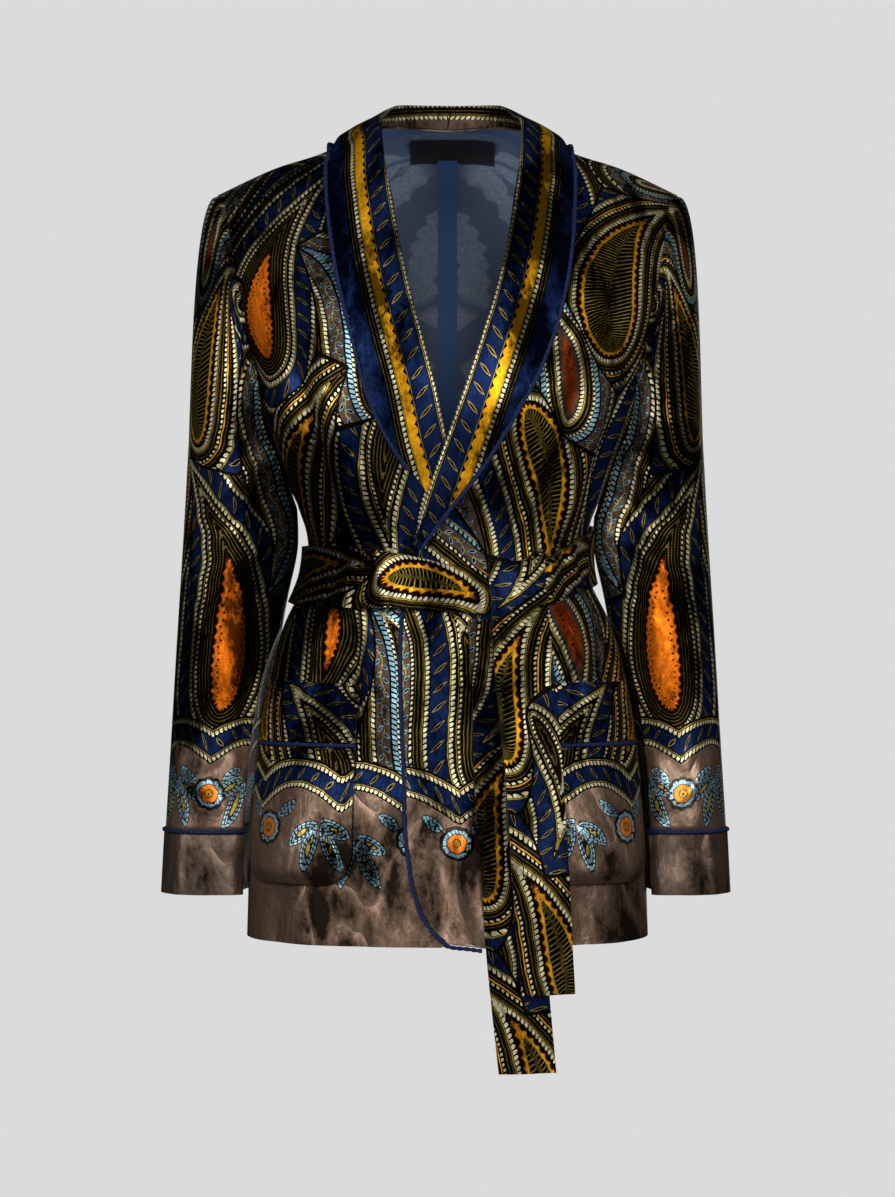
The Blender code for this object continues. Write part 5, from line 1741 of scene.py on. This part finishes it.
def sleeve_fold(z):
    """How far folds and creases lift a ring at a height."""
    total = fold_lift(SLEEVE_CREASES + CUFF_CREASES, SLEEVE_GIRTH_RADIUS * SLEEVE_TURNS, z).sum(axis=0)
    for fold in SLEEVE_FOLDS:
        apart = np.remainder(SLEEVE_TURNS - fold.turn + math.pi, 2 * math.pi) - math.pi
        fade = ease(z, fold.top, fold.top - SLEEVE_FOLD_FADE)
        fade *= ease(z, fold.bottom, fold.bottom + SLEEVE_FOLD_FADE)
        total += fold.depth * fade * np.exp(-((apart / fold.width) ** 2))
    return total


def sleeve_ring(z, inward, grow=0.0):
    """One ring of a sleeve on the left side, from the inner seam by the back to the front."""
    x, y, half_width, half_depth = sleeve_at(-z)
    clearance = ARM_CLEAR_HIGH + (ARM_CLEAR_LOW - ARM_CLEAR_HIGH) * float(ease(z, *ARM_CLEAR_LEVELS))
    out = np.stack([np.cos(SLEEVE_TURNS), -np.sin(SLEEVE_TURNS), np.zeros(SLEEVE_SIDES)], axis=1)
    reach = np.array([half_width, half_depth, 0]) + (grow + sleeve_fold(z))[:, None]
    return kept_clear(np.array([x - inward, y, z]) + out * reach, clearance - grow)


def sleeve_grid(inward):
    """A sleeve on the left side from its cuff up to its armhole, one row for each level."""
    start, under = armhole()
    high = (1 + np.cos(SLEEVE_TURNS)) / 2
    out = CAP_OUT_LOW + CAP_OUT * np.sqrt(high)
    fall = -CAP_FALL_LOW * (1 - high) - CAP_FALL_SIDE * high * np.sin(SLEEVE_TURNS) ** 2
    leaving = np.stack([out, -CAP_FORWARD * np.sin(SLEEVE_TURNS), fall], axis=1)
    top = SLEEVE[0].height
    end = sleeve_ring(top, inward)
    drop = np.maximum(start[:, 2] - top, CAP_DROP)
    arriving = np.stack([np.full_like(drop, RING_OUT), np.zeros_like(drop), -RING_FALL * drop], axis=1)
    rows = [under + (start - under) * share for share in np.arange(TURNING_ROWS) / TURNING_ROWS]
    for t in np.linspace(0, 1, CAP_ROWS):
        cubic = (2 * t**3 - 3 * t**2 + 1, t**3 - 2 * t**2 + t, 3 * t**2 - 2 * t**3, t**3 - t**2)
        ring = cubic[0] * start + cubic[1] * leaving + cubic[2] * end + cubic[3] * arriving
        clearance = ARMHOLE_GAP + (ARM_CLEAR_HIGH - ARMHOLE_GAP) * min(1.0, CAP_CLEAR_RATE * t)
        rows.append(kept_clear(ring, clearance))
    bottom = CUFF_SEAM + CORD_SLOT
    for z in np.linspace(top, bottom, round((top - bottom) / SPACING))[1:]:
        rows.append(sleeve_ring(z, inward))
    rows += [sleeve_ring(CUFF_SEAM + rise, inward, -deep) for rise, deep in CUFF_TURNING[::-1]]
    return np.array(rows[::-1])


def mirrored(points):
    """Points of the left side on the right side."""
    return points * np.array([-1.0, 1.0, 1.0])


def sleeve_flat(grid):
    """A sleeve's flat cut: across from its outer line towards the front, and up from its cuff."""
    closed = np.concatenate([grid, grid[:, :1]], axis=1)
    way, up = row_way(closed), column_way(closed)
    return np.stack([way - way[:, -1:] / 2, up - up[len(CUFF_TURNING)]], axis=-1)


def make_sleeves():
    """Sleeves with their cuffs and the cords between them; the right ones are mirrored."""
    levels = np.linspace(CUFF_BOTTOM, CUFF_SEAM - CORD_SLOT, round((CUFF_SEAM - CUFF_BOTTOM) / SPACING))
    for name, side, inward in (("left", 1, LEFT_SLEEVE_IN), ("right", -1, 0.0)):
        grid = sleeve_grid(inward)
        fields = print_fields(sleeve_flat(grid), SLEEVE_PRINT)
        cuff = np.array([sleeve_ring(z, inward, CUFF_STEP) for z in levels])
        piping = sleeve_ring(CUFF_SEAM, inward, CUFF_STEP)
        to_seam = len(grid) - 1 - TURNING_ROWS - np.arange(len(grid))
        thick = VELVET * np.clip(to_seam / SEAM_THIN_ROWS, SEAM_THIN, 1)
        inner = grid + grid_normals(grid, True) * thick[:, None, None]
        cuff_inner = cuff + grid_normals(cuff, True) * VELVET
        if side < 0:
            grid, inner, cuff, cuff_inner, piping = map(mirrored, (grid, inner, cuff, cuff_inner, piping))
        cloth(
            f"sleeve_{name}", grid, inner, PRINTED, LINING,
            wrap=True, fields=fields, turning=SEAM_ROWS,
        )
        cloth(
            f"cuff_{name}", cuff, cuff_inner, BROWN, BROWN,
            wrap=True,
        )
        cord(f"cuff_piping_{name}", piping, closed=True)


# Cords

def cord(node, line, closed=False):
    """A twisted cord along a line, in the place of its solid."""
    if closed:
        line = np.concatenate([line, line[:1]])
    along = line_way(line)
    twists = round(along[-1] / CORD_TWIST)
    count = twists * CORD_STEPS + (0 if closed else 1)
    steps = np.linspace(0, along[-1], count, endpoint=not closed)
    points = np.stack([np.interp(steps, along, line[:, k]) for k in range(3)], axis=1)
    if closed:
        tangent = np.roll(points, -1, axis=0) - np.roll(points, 1, axis=0)
    else:
        tangent = np.gradient(points, axis=0)
    tangent = unit(tangent)
    side = carried_sides(tangent, closed)
    other = np.cross(tangent, side)
    turns = np.linspace(0, 2 * math.pi, CORD_SIDES, endpoint=False)[None, :]
    lay = steps[:, None] / along[-1] * twists * 2 * math.pi
    radius = CORD_RADIUS * (1 - CORD_GROOVE + CORD_GROOVE * np.cos(2 * turns - lay))
    rings = points[:, None] + radius[..., None] * (
        side[:, None] * np.cos(turns)[..., None] + other[:, None] * np.sin(turns)[..., None]
    )
    index = np.arange(count * CORD_SIDES).reshape(count, CORD_SIDES)
    rows = np.vstack([index, index[:1]]) if closed else index
    faces = corners(np.hstack([rows, rows[:, :1]])).tolist()
    if not closed:
        faces += [index[0][::-1].tolist(), index[-1].tolist()]
    mesh = bpy.data.meshes.new(node)
    mesh.from_pydata(rings.reshape(-1, 3).tolist(), [], faces)
    mesh.materials.append(CORD)
    mesh.shade_smooth()
    dress(placed(node + "_twist", mesh), node)


def carried_sides(tangent, closed):
    """A direction beside a line at each of its points, turning as little as it can."""
    if closed:
        return unit(np.cross(tangent, (0.0, 0.0, 1.0)))
    sides = [np.cross(tangent[0], FIRST_SIDE)]
    for t in tangent:
        sides.append(unit(sides[-1] - t * sides[-1].dot(t)))
    return np.array(sides[1:])


# Collar

def collar_offset(x, z, on_left):
    """Distance from the body to the collar's outer face where it lies on a front."""
    return (lap(x, z) if on_left else 0.0) + COLLAR_GAP + COLLAR_CLOTH


def nearest(point):
    """Turn and distance up of the bare body's place closest to a point near the neck."""
    x, y, z = point
    up = min(up_of(x, z), RIDGE - NEAREST_START)
    turn = turn_of(x, up, 1 if y < 0 else -1)
    for _ in range(NEAREST_TRIES):
        here = bare_body(turn, up)
        sideways = (bare_body(turn + SMALL_STEP, up) - here) / SMALL_STEP
        upwards = (here - bare_body(turn, up - SMALL_STEP)) / SMALL_STEP
        share = np.linalg.lstsq(np.stack([sideways, upwards], axis=1), point - here, rcond=None)[0]
        turn += float(np.clip(share[0], -NEAREST_TURN, NEAREST_TURN))
        up += float(np.clip(share[1], -NEAREST_MOVE, NEAREST_MOVE))
        up = float(np.clip(up, SMALL_STEP, RIDGE))
    return turn, up


def laid_on(point, off):
    """The body's place closest to a point, moved out by off."""
    return body(*nearest(point), off)


def kept_outside(point, off):
    """The point itself, or the place on the body if the point would be inside it."""
    turn, up = nearest(point)
    rest = body(turn, up, off)
    return rest if (point - rest).dot(body_normal(turn, up)) < 0 else point


def stand_base(row_index, on_left):
    """Where the stand meets the neck, for the rows that stand round it."""
    side = 1 if on_left else -1
    rest = row_index - NECK_START
    if rest == 0:
        return on_body(side * STAND_FRONT[0], STAND_FRONT[1], LAYER_GAP)
    if rest == 1:
        up = RIDGE - SEAM_GAP
        return body(turn_of(side * NECK_HALF_WIDTH, up), up, LAYER_GAP)
    x = STAND_BACK[rest - 2]
    up = neck_up(x)
    return body(turn_of(side * x, up, -1), up, LAYER_GAP)


def collar_lines(on_left):
    """Stand base, roll and edge of one collar half, with the share that lies on the chest, row by row."""
    side = 1 if on_left else -1
    rows = []
    for k, row in enumerate(COLLAR):
        roll_x = side * (row.left_roll if on_left else row.right_roll)
        edge_x = side * (row.left_edge if on_left else row.right_edge)
        edge_off = float(collar_offset(edge_x, row.edge_z, on_left))
        edge = on_body(edge_x, row.edge_z, edge_off, row.facing)
        roll_off = float(collar_offset(roll_x, row.roll_z, on_left))
        if row.roll_y is None:
            roll = on_body(roll_x, row.roll_z, roll_off + row.stand)
        else:
            roll = np.array([roll_x, row.roll_y, row.roll_z])
        if k < NECK_START:
            base = on_body(roll_x, row.roll_z, roll_off - COLLAR_LIP)
        else:
            base = stand_base(k, on_left)
        rows.append(np.concatenate([base, roll, edge, [row.chest]]))
    return np.array(rows)


def collar_section(base, roll, edge, chest, on_left):
    """Points of one section, from the stand over the roll and down the fall to the edge."""
    down = edge - roll
    outward = unit(np.cross(down, np.cross((0.0, 0.0, 1.0), down)))

    def fall(t):
        point = roll + down * t + outward * FALL_BULGE * 4 * t * (1 - t) * (1 - chest)
        off = chest * float(collar_offset(point[0], point[2], on_left)) + (1 - chest) * NECK_OFF
        return laid_on(point, off) if t == 1.0 else kept_outside(point, off)

    up = roll - base
    start = roll - up * min(STAND_ROLL, COLLAR_ROLL / np.linalg.norm(up))
    turned_over = fall(min(FALL_ROLL, COLLAR_ROLL / np.linalg.norm(down)))
    top = (start + 2 * roll + turned_over) / 4
    return np.array([base, (base + start) / 2, start, top, turned_over] + [fall(t) for t in FALL_SHARES])


def collar_grid(on_left):
    """One collar half: a row for each station from its lower end to the back of the neck."""
    lines = collar_lines(on_left)
    along = line_way(lines[:, 3:6])
    at = smooth_rows(lines, along)
    on_chest = slice(NECK_START)
    first = 0.0 if on_left else float(np.interp(RIGHT_COLLAR_END, lines[on_chest, 5], along[on_chest]))
    on_neck = along[NECK_START]
    stations = np.concatenate([
        np.linspace(first, on_neck, COLLAR_STATIONS - NECK_STATIONS, endpoint=False),
        np.linspace(on_neck, along[-1], NECK_STATIONS),
    ])
    grid = []
    for s in stations:
        values = at(s)
        chest = float(np.clip(values[9], 0, 1))
        grid.append(collar_section(values[:3], values[3:6], values[6:9], chest, on_left))
    return np.array(grid)


def piping_point(end, out):
    """Where the collar's piping runs beside an end of a section, just past the edge."""
    outward = unit(laid_on(end, NECK_OFF + LAYER_GAP) - laid_on(end, NECK_OFF))
    out = unit(out - outward * out.dot(outward))
    return end + out * (CORD_RADIUS + SEAM_GAP) + outward * LAYER_GAP


def roll_line(grid, across):
    """The line of a collar's roll as a grid of one column, given each point's distance from it."""
    k = np.abs(across).argmin(axis=1)
    return grid[np.arange(len(grid)), k][:, None]


def make_collars():
    """Both collar halves, which meet at the back of the neck, with the cords along their edges."""
    for name, on_left in (("left", True), ("right", False)):
        side = 1 if on_left else -1
        coarse = collar_grid(on_left)
        coarse[-1, :, 0] += side * SEAM_GAP
        line = np.array([piping_point(row[-1], row[-1] - row[-2]) for row in coarse])
        if not on_left:
            line = line[line[:, 2] > RIGHT_PIPING_END]
        grid = refined(coarse, COLLAR_ROWS, COLLAR_COLUMNS)
        normals = grid_normals(grid) * side
        normals[-1, :, 0] = 0.0
        stand = refined(coarse[:, :ROLL_COLUMN + 1], COLLAR_ROWS, STAND_COLUMNS)
        across = row_way(grid) - row_way(stand)[:, -1:]
        way = np.repeat(column_way(roll_line(grid, across)), grid.shape[1], axis=1)
        fields = {"paisley": np.stack([corners(across), corners(way), np.ones_like(corners(way))], axis=-1)}
        cloth(
            f"collar_{name}", grid, grid - normals * COLLAR_CLOTH, COLLAR_PRINTED,
            COLLAR_PRINTED, fields=fields,
        )
        cord(f"collar_piping_{name}", refined_line(line, SPACING))


def make_front_piping():
    """The cord along the left front's edge, from the collar's tip round the corner to the hem."""
    straight = np.linspace(PIPING_TOP, PIPING_CORNER, PIPING_ROWS)
    shares = np.linspace(*PIPING_CORNER_SHARES, PIPING_ROWS)
    corner = HEM + PIPING_CORNER_HEIGHT * shares**PIPING_CORNER_GROWTH
    beside = CORD_RADIUS + SEAM_GAP
    line = []
    for z in np.concatenate([straight, corner]):
        slope = float(edge_at(z + EDGE_STEP)[0] - edge_at(z - EDGE_STEP)[0]) / (2 * EDGE_STEP)
        out = np.array([-1.0, slope]) / math.hypot(1.0, slope)
        x = float(edge_at(z)[0]) + out[0] * beside
        low = z + out[1] * beside
        point = on_body(x, max(low, HEM), float(lap(x, low)) - VELVET / 2)
        line.append((point[0], point[1], low))
    cord("front_piping_left", refined_line(np.array(line), SPACING))


# Pockets

def pocket_off(across, down):
    """How far a pocket's outer face stands off the body; across and down run from 0 to 1."""
    puff = POCKET_PUFF * np.sin(np.pi * across) ** 0.6 * (0.35 + 0.65 * np.sin(np.pi * down) ** 0.8)
    sag = POCKET_SAG * np.sin(np.pi * across) ** 0.7
    sag *= ease(down, *POCKET_SAG_START) * ease(down, *POCKET_SAG_END)
    return POCKET_GAP + VELVET + puff + sag


def pocket_cut(heights, side):
    """Outer and inner faces of a pocket piece, and its flat cut from the pocket's lower inner corner."""
    across = np.linspace(0, 1, POCKET_COLUMNS)
    outer, inner, flat = [], [], []
    for z in heights:
        up = float(centre_up(z))
        above = min(z - POCKET_BOTTOM, POCKET_CORNER)
        inset = POCKET_CORNER - math.sqrt(POCKET_CORNER**2 - (POCKET_CORNER - above) ** 2)
        reach = float(BODY_AT(up)[3]) * POCKET_BEND
        low = POCKET_INNER_TURN + inset / reach
        high = POCKET_OUTER_TURN - inset / reach
        turns = low + (high - low) * across
        off = pocket_off(across, (POCKET_TOP - z) / (POCKET_TOP - POCKET_BOTTOM))
        outer.append(body(side * turns, up, off))
        inner.append(body(side * turns, up, off - VELVET))
        way = row_way(outer[-1][None])[0] + inset
        flat.append(np.stack([way, np.full_like(way, z - POCKET_BOTTOM)], axis=-1))
    return np.array(outer), np.array(inner), np.array(flat)


def make_pockets():
    """Patch pockets: the bag, the band at its top and the cord between them."""
    round_part = np.linspace(POCKET_CORNER_START, math.pi / 2, CORNER_ROWS)
    corner = POCKET_BOTTOM + POCKET_CORNER * (1 - np.cos(round_part))
    bag = np.concatenate([corner, np.linspace(corner[-1], POCKET_SEAM - CORD_SLOT, BAG_ROWS)[1:]])
    band = np.linspace(POCKET_SEAM + CORD_SLOT, POCKET_TOP, BAND_ROWS)
    for name, side in (("left", 1), ("right", -1)):
        for node, heights in ((f"pocket_{name}", bag), (f"pocket_band_{name}", band)):
            outer, inner, flat = pocket_cut(heights, side)
            fields = print_fields(flat, POCKET_PRINT)
            cloth(node, outer, inner, PRINTED, fields=fields)
        across = np.linspace(0, 1, POCKET_CORD_POINTS)
        down = (POCKET_TOP - POCKET_SEAM) / (POCKET_TOP - POCKET_BOTTOM)
        turns = side * (POCKET_INNER_TURN + (POCKET_OUTER_TURN - POCKET_INNER_TURN) * across)
        off = np.maximum(pocket_off(across, down), CORD_RADIUS + 2 * LAYER_GAP)
        cord(f"pocket_piping_{name}", body(turns, up_of(0.0, POCKET_SEAM), off))


# Belt

def belt_off(x, facing_front):
    """How far the belt's inner face stands off the body; it rides over the lap and the second end."""
    over = ease(x, *BELT_LIFT_RIGHT) * ease(x, *BELT_LIFT_LEFT)
    return BELT_GAP + np.where(facing_front, BELT_LIFT * over, 0.0)


def belt_grid():
    """The belt's inner face from the knot round the back to the knot again."""
    degrees = np.linspace(*BELT_SPAN, BELT_COLUMNS)
    turns = np.radians(degrees)
    height, half = belt_level(turns)
    grid = []
    for share in np.linspace(-1, 1, BELT_ROWS):
        ups = centre_up(height + share * half)
        off = belt_off(bare_body(turns, ups)[..., 0], np.cos(turns) > 0) + BELT_BOW * (1 - share**2)
        for fold in BELT_FOLDS:
            away = (degrees - fold.turn - fold.slant * share) / fold.width
            off = off + fold.height * np.exp(-(away**2))
        grid.append(body(turns, ups, off))
    return np.array(grid)


def hung(x, z, off):
    """A point in front of the body, hanging straight down below the hem."""
    up = up_of(x, max(z, HEM + HEM_MARGIN))
    turn = turn_of(x, up)
    lean = min(TAIL_LEAN, 1 / abs(body_normal(turn, up)[1]))
    return np.array([x, body(turn, up)[1] - off * lean, z])


def tail_grid(table, rows):
    """The under side of a hanging belt end."""
    at = smooth_rows([row[1:] for row in table], [-row.height for row in table])
    top = table[0].height
    grid = []
    for z in np.linspace(table[-1].height, top, rows):
        left, right, off = at(-z)
        across = np.linspace(0, 1, TAIL_POINTS)
        bow = TAIL_BOW * np.sin(2 * np.pi * across + TAIL_BOW_RATE * z) * ease(z, top, top - TAIL_BOW_FADE)
        grid.append([hung(left + (right - left) * t, z, off + b) for t, b in zip(across, bow)])
    return np.array(grid)


def belt_piece(node, under, cut_start, layout):
    """A belt piece built outwards from its under side, with its print from a height in the cut."""
    outer = under + grid_normals(under) * DOUBLE_VELVET
    flat = np.stack([row_way(under), column_way(under) + cut_start], axis=-1)
    cloth(
        node, outer, under, BELT_PRINTED, BELT_PRINTED,
        fields=print_fields(flat, layout),
    )


def knot_grid():
    """The under side of the front end where it turns over the belt's top edge."""
    first = FRONT_TAIL[0]
    grid = []
    for rise, beyond in KNOT_ROLL:
        row = []
        for x in np.linspace(first.left, first.right, TAIL_POINTS) - KNOT_SHIFT:
            height, half = belt_level(turn_of(x, up_of(x, KNOT_LEVEL)))
            row.append(hung(x, float(height + half) + rise, float(belt_off(x, True)) + beyond))
        grid.append(row)
    return np.array(grid)


def make_belt():
    """The belt and its two hanging ends."""
    belt_piece("belt", belt_grid(), BELT_CUT_START, BELT_PRINT)
    back_tail = refined(tail_grid(BACK_TAIL, BACK_TAIL_ROWS[0]), BACK_TAIL_ROWS[1], TAIL_COLUMNS)
    belt_piece("belt_tail_back", back_tail, BACK_TAIL_CUT_START, TAIL_PRINT)
    hanging = np.concatenate([tail_grid(FRONT_TAIL, FRONT_TAIL_ROWS[0]), knot_grid()])
    front_tail = refined(hanging, FRONT_TAIL_ROWS[1], TAIL_COLUMNS)
    belt_piece("belt_tail_front", front_tail, FRONT_TAIL_CUT_START, TAIL_PRINT)


# Inside the back neck

def make_lining():
    """Lining, seam tape and label behind the neck, on the inner side of the back halves."""
    top = neck_up(0.0) - LINING_TOP_GAP
    rows = np.linspace(up_of(0.0, LINING_BOTTOM), top, LINING_ROWS)
    half = back_turns(rows, LINING_COLUMNS, LINING_REACH)
    half[:, -1] = math.pi
    turns = np.concatenate([half, 2 * math.pi - half[:, -2::-1]], axis=1)
    ups = np.repeat(rows[:, None], turns.shape[1], axis=1)
    to_top = LINING_ROWS - 1 - np.arange(LINING_ROWS)
    loose = np.clip(to_top / LINING_EDGE_ROWS, LINING_EDGE, 1)[:, None]
    off = -VELVET - LINING_GAP * loose
    outer, inner = body(turns, ups, off), body(turns, ups, off - LINING_CLOTH * loose)
    flat = np.stack([np.abs(np.sin(turns)) * LINING_PRINT_WIDTH, ups], axis=-1)
    cloth(
        "back_lining", inner, outer, BACK_LINING, LINING,
        fields=print_fields(flat, BACK_PRINT),
    )
    strip("back_seam_tape", TAPE_COLUMNS, LINING_ROWS, LINING)
    strip("neck_label", LABEL_COLUMNS, LABEL_ROWS, LABEL)


def strip(node, columns, rows, finish):
    """A strip on the lining, over the height and width of its solid."""
    low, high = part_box(node)
    off = -VELVET - LINING_GAP - LINING_CLOTH - LAYER_GAP
    tried = np.linspace(up_of(0.0, low.z - STRIP_MARGIN), neck_up(0.0), STRIP_TRIES)
    heights = body(np.full(STRIP_TRIES, math.pi), tried, off)[:, 2]
    ups = np.interp(np.linspace(low.z, high.z, rows), heights, tried)
    xs = np.linspace(high.x, low.x, columns)
    turns = np.array([[turn_of(x, up, -1) for x in xs] for up in ups])
    ups = np.repeat(ups[:, None], columns, axis=1)
    outer, inner = body(turns, ups, off), body(turns, ups, off - LINING_CLOTH)
    cloth(node, inner, outer, finish, finish)


# Stage

# The camera stands level in front of the jacket, and the frame is as high as the picture at its scale.
CAMERA_DISTANCE = 3.0
CAMERA_HEIGHT = -0.412
PICTURE_ROWS = 1197
PIXEL = 0.0009
SENSOR = 24.0
# A round room of pale paper, with a bend between floor and wall.
PAPER = dye(219, 219, 219)
FLOOR = -1.02
ROOM = 6.5
ROOM_TOP = 6.0
ROOM_SIDES = 64
ROOM_BEND = 1.5
ROOM_BEND_START = 0.1
ROOM_BEND_ROWS = 10
AMBIENT = (0.8, 0.82, 0.85, 1.0)
AMBIENT_STRENGTH = 0.035
Softbox = namedtuple("Softbox", "name place size power")
SOFTBOXES = table(
    Softbox,
    ("key", (-1.6, -2.4, 0.40), (1.0, 1.2), 46.0),
    ("fill", (1.6, -2.4, 0.15), (1.0, 1.2), 35.0),
    ("front", (0.1, -3.3, -0.25), (0.8, 0.8), 18.0),
    ("top", (0.0, -1.4, 1.8), (1.6, 0.8), 5.0),
    ("back", (0.6, 2.8, -0.3), (1.6, 1.6), 26.0),
)


def make_backdrop():
    """The room, which neither lights the jacket nor shades it."""
    paper = Shader("studio_paper").finish({
        "Base Color": dye(0, 0, 0), "Roughness": 1.0, "Specular IOR Level": 0.0,
        "Emission Color": PAPER, "Emission Strength": 1.0,
    })
    section = [(ROOM - ROOM_BEND, FLOOR)]
    for angle in np.linspace(ROOM_BEND_START, math.pi / 2, ROOM_BEND_ROWS):
        out = ROOM - ROOM_BEND * (1 - math.sin(angle))
        section.append((out, FLOOR + ROOM_BEND * (1 - math.cos(angle))))
    section.append((ROOM, ROOM_TOP))
    turns = np.linspace(0, 2 * math.pi, ROOM_SIDES, endpoint=False)
    points = [(r * math.cos(a), r * math.sin(a), z) for r, z in section for a in turns]
    index = np.arange(len(points)).reshape(-1, ROOM_SIDES)
    wall = corners(np.hstack([index, index[:, :1]]))
    mesh = bpy.data.meshes.new("backdrop")
    mesh.from_pydata(points, [], [index[0].tolist()] + wall.tolist())
    mesh.materials.append(paper)
    mesh.shade_smooth()
    backdrop = placed("backdrop", mesh)
    backdrop.visible_diffuse = False
    backdrop.visible_glossy = False
    backdrop.visible_shadow = False


def make_lights():
    """A dim world and soft rectangular lights aimed at the jacket's middle."""
    world = bpy.data.worlds.new("studio")
    world.use_nodes = True
    background = world.node_tree.nodes["Background"]
    background.inputs["Color"].default_value = AMBIENT
    background.inputs["Strength"].default_value = AMBIENT_STRENGTH
    bpy.context.scene.world = world
    for box in SOFTBOXES:
        light = bpy.data.lights.new(box.name, "AREA")
        light.shape = "RECTANGLE"
        light.size, light.size_y = box.size
        light.energy = box.power
        lamp = placed(box.name, light)
        lamp.location = box.place
        aim = Vector((0.0, 0.0, CAMERA_HEIGHT)) - lamp.location
        lamp.rotation_euler = aim.to_track_quat("-Z", "Y").to_euler()


def make_camera():
    """The camera, looking straight at the front."""
    camera = bpy.data.cameras.new("camera")
    camera.sensor_fit = "VERTICAL"
    camera.sensor_height = SENSOR
    camera.lens = SENSOR * CAMERA_DISTANCE / (PICTURE_ROWS * PIXEL)
    seat = placed("camera", camera)
    seat.location = (0.0, -CAMERA_DISTANCE, CAMERA_HEIGHT)
    seat.rotation_euler = (math.pi / 2, 0.0, 0.0)
    bpy.context.scene.camera = seat


def main():
    """The stage and all pieces of the jacket."""
    bpy.context.scene.view_settings.view_transform = "Standard"
    make_backdrop()
    make_lights()
    make_camera()
    make_fronts()
    make_backs()
    make_sleeves()
    make_collars()
    make_front_piping()
    make_pockets()
    make_belt()
    make_lining()


main()
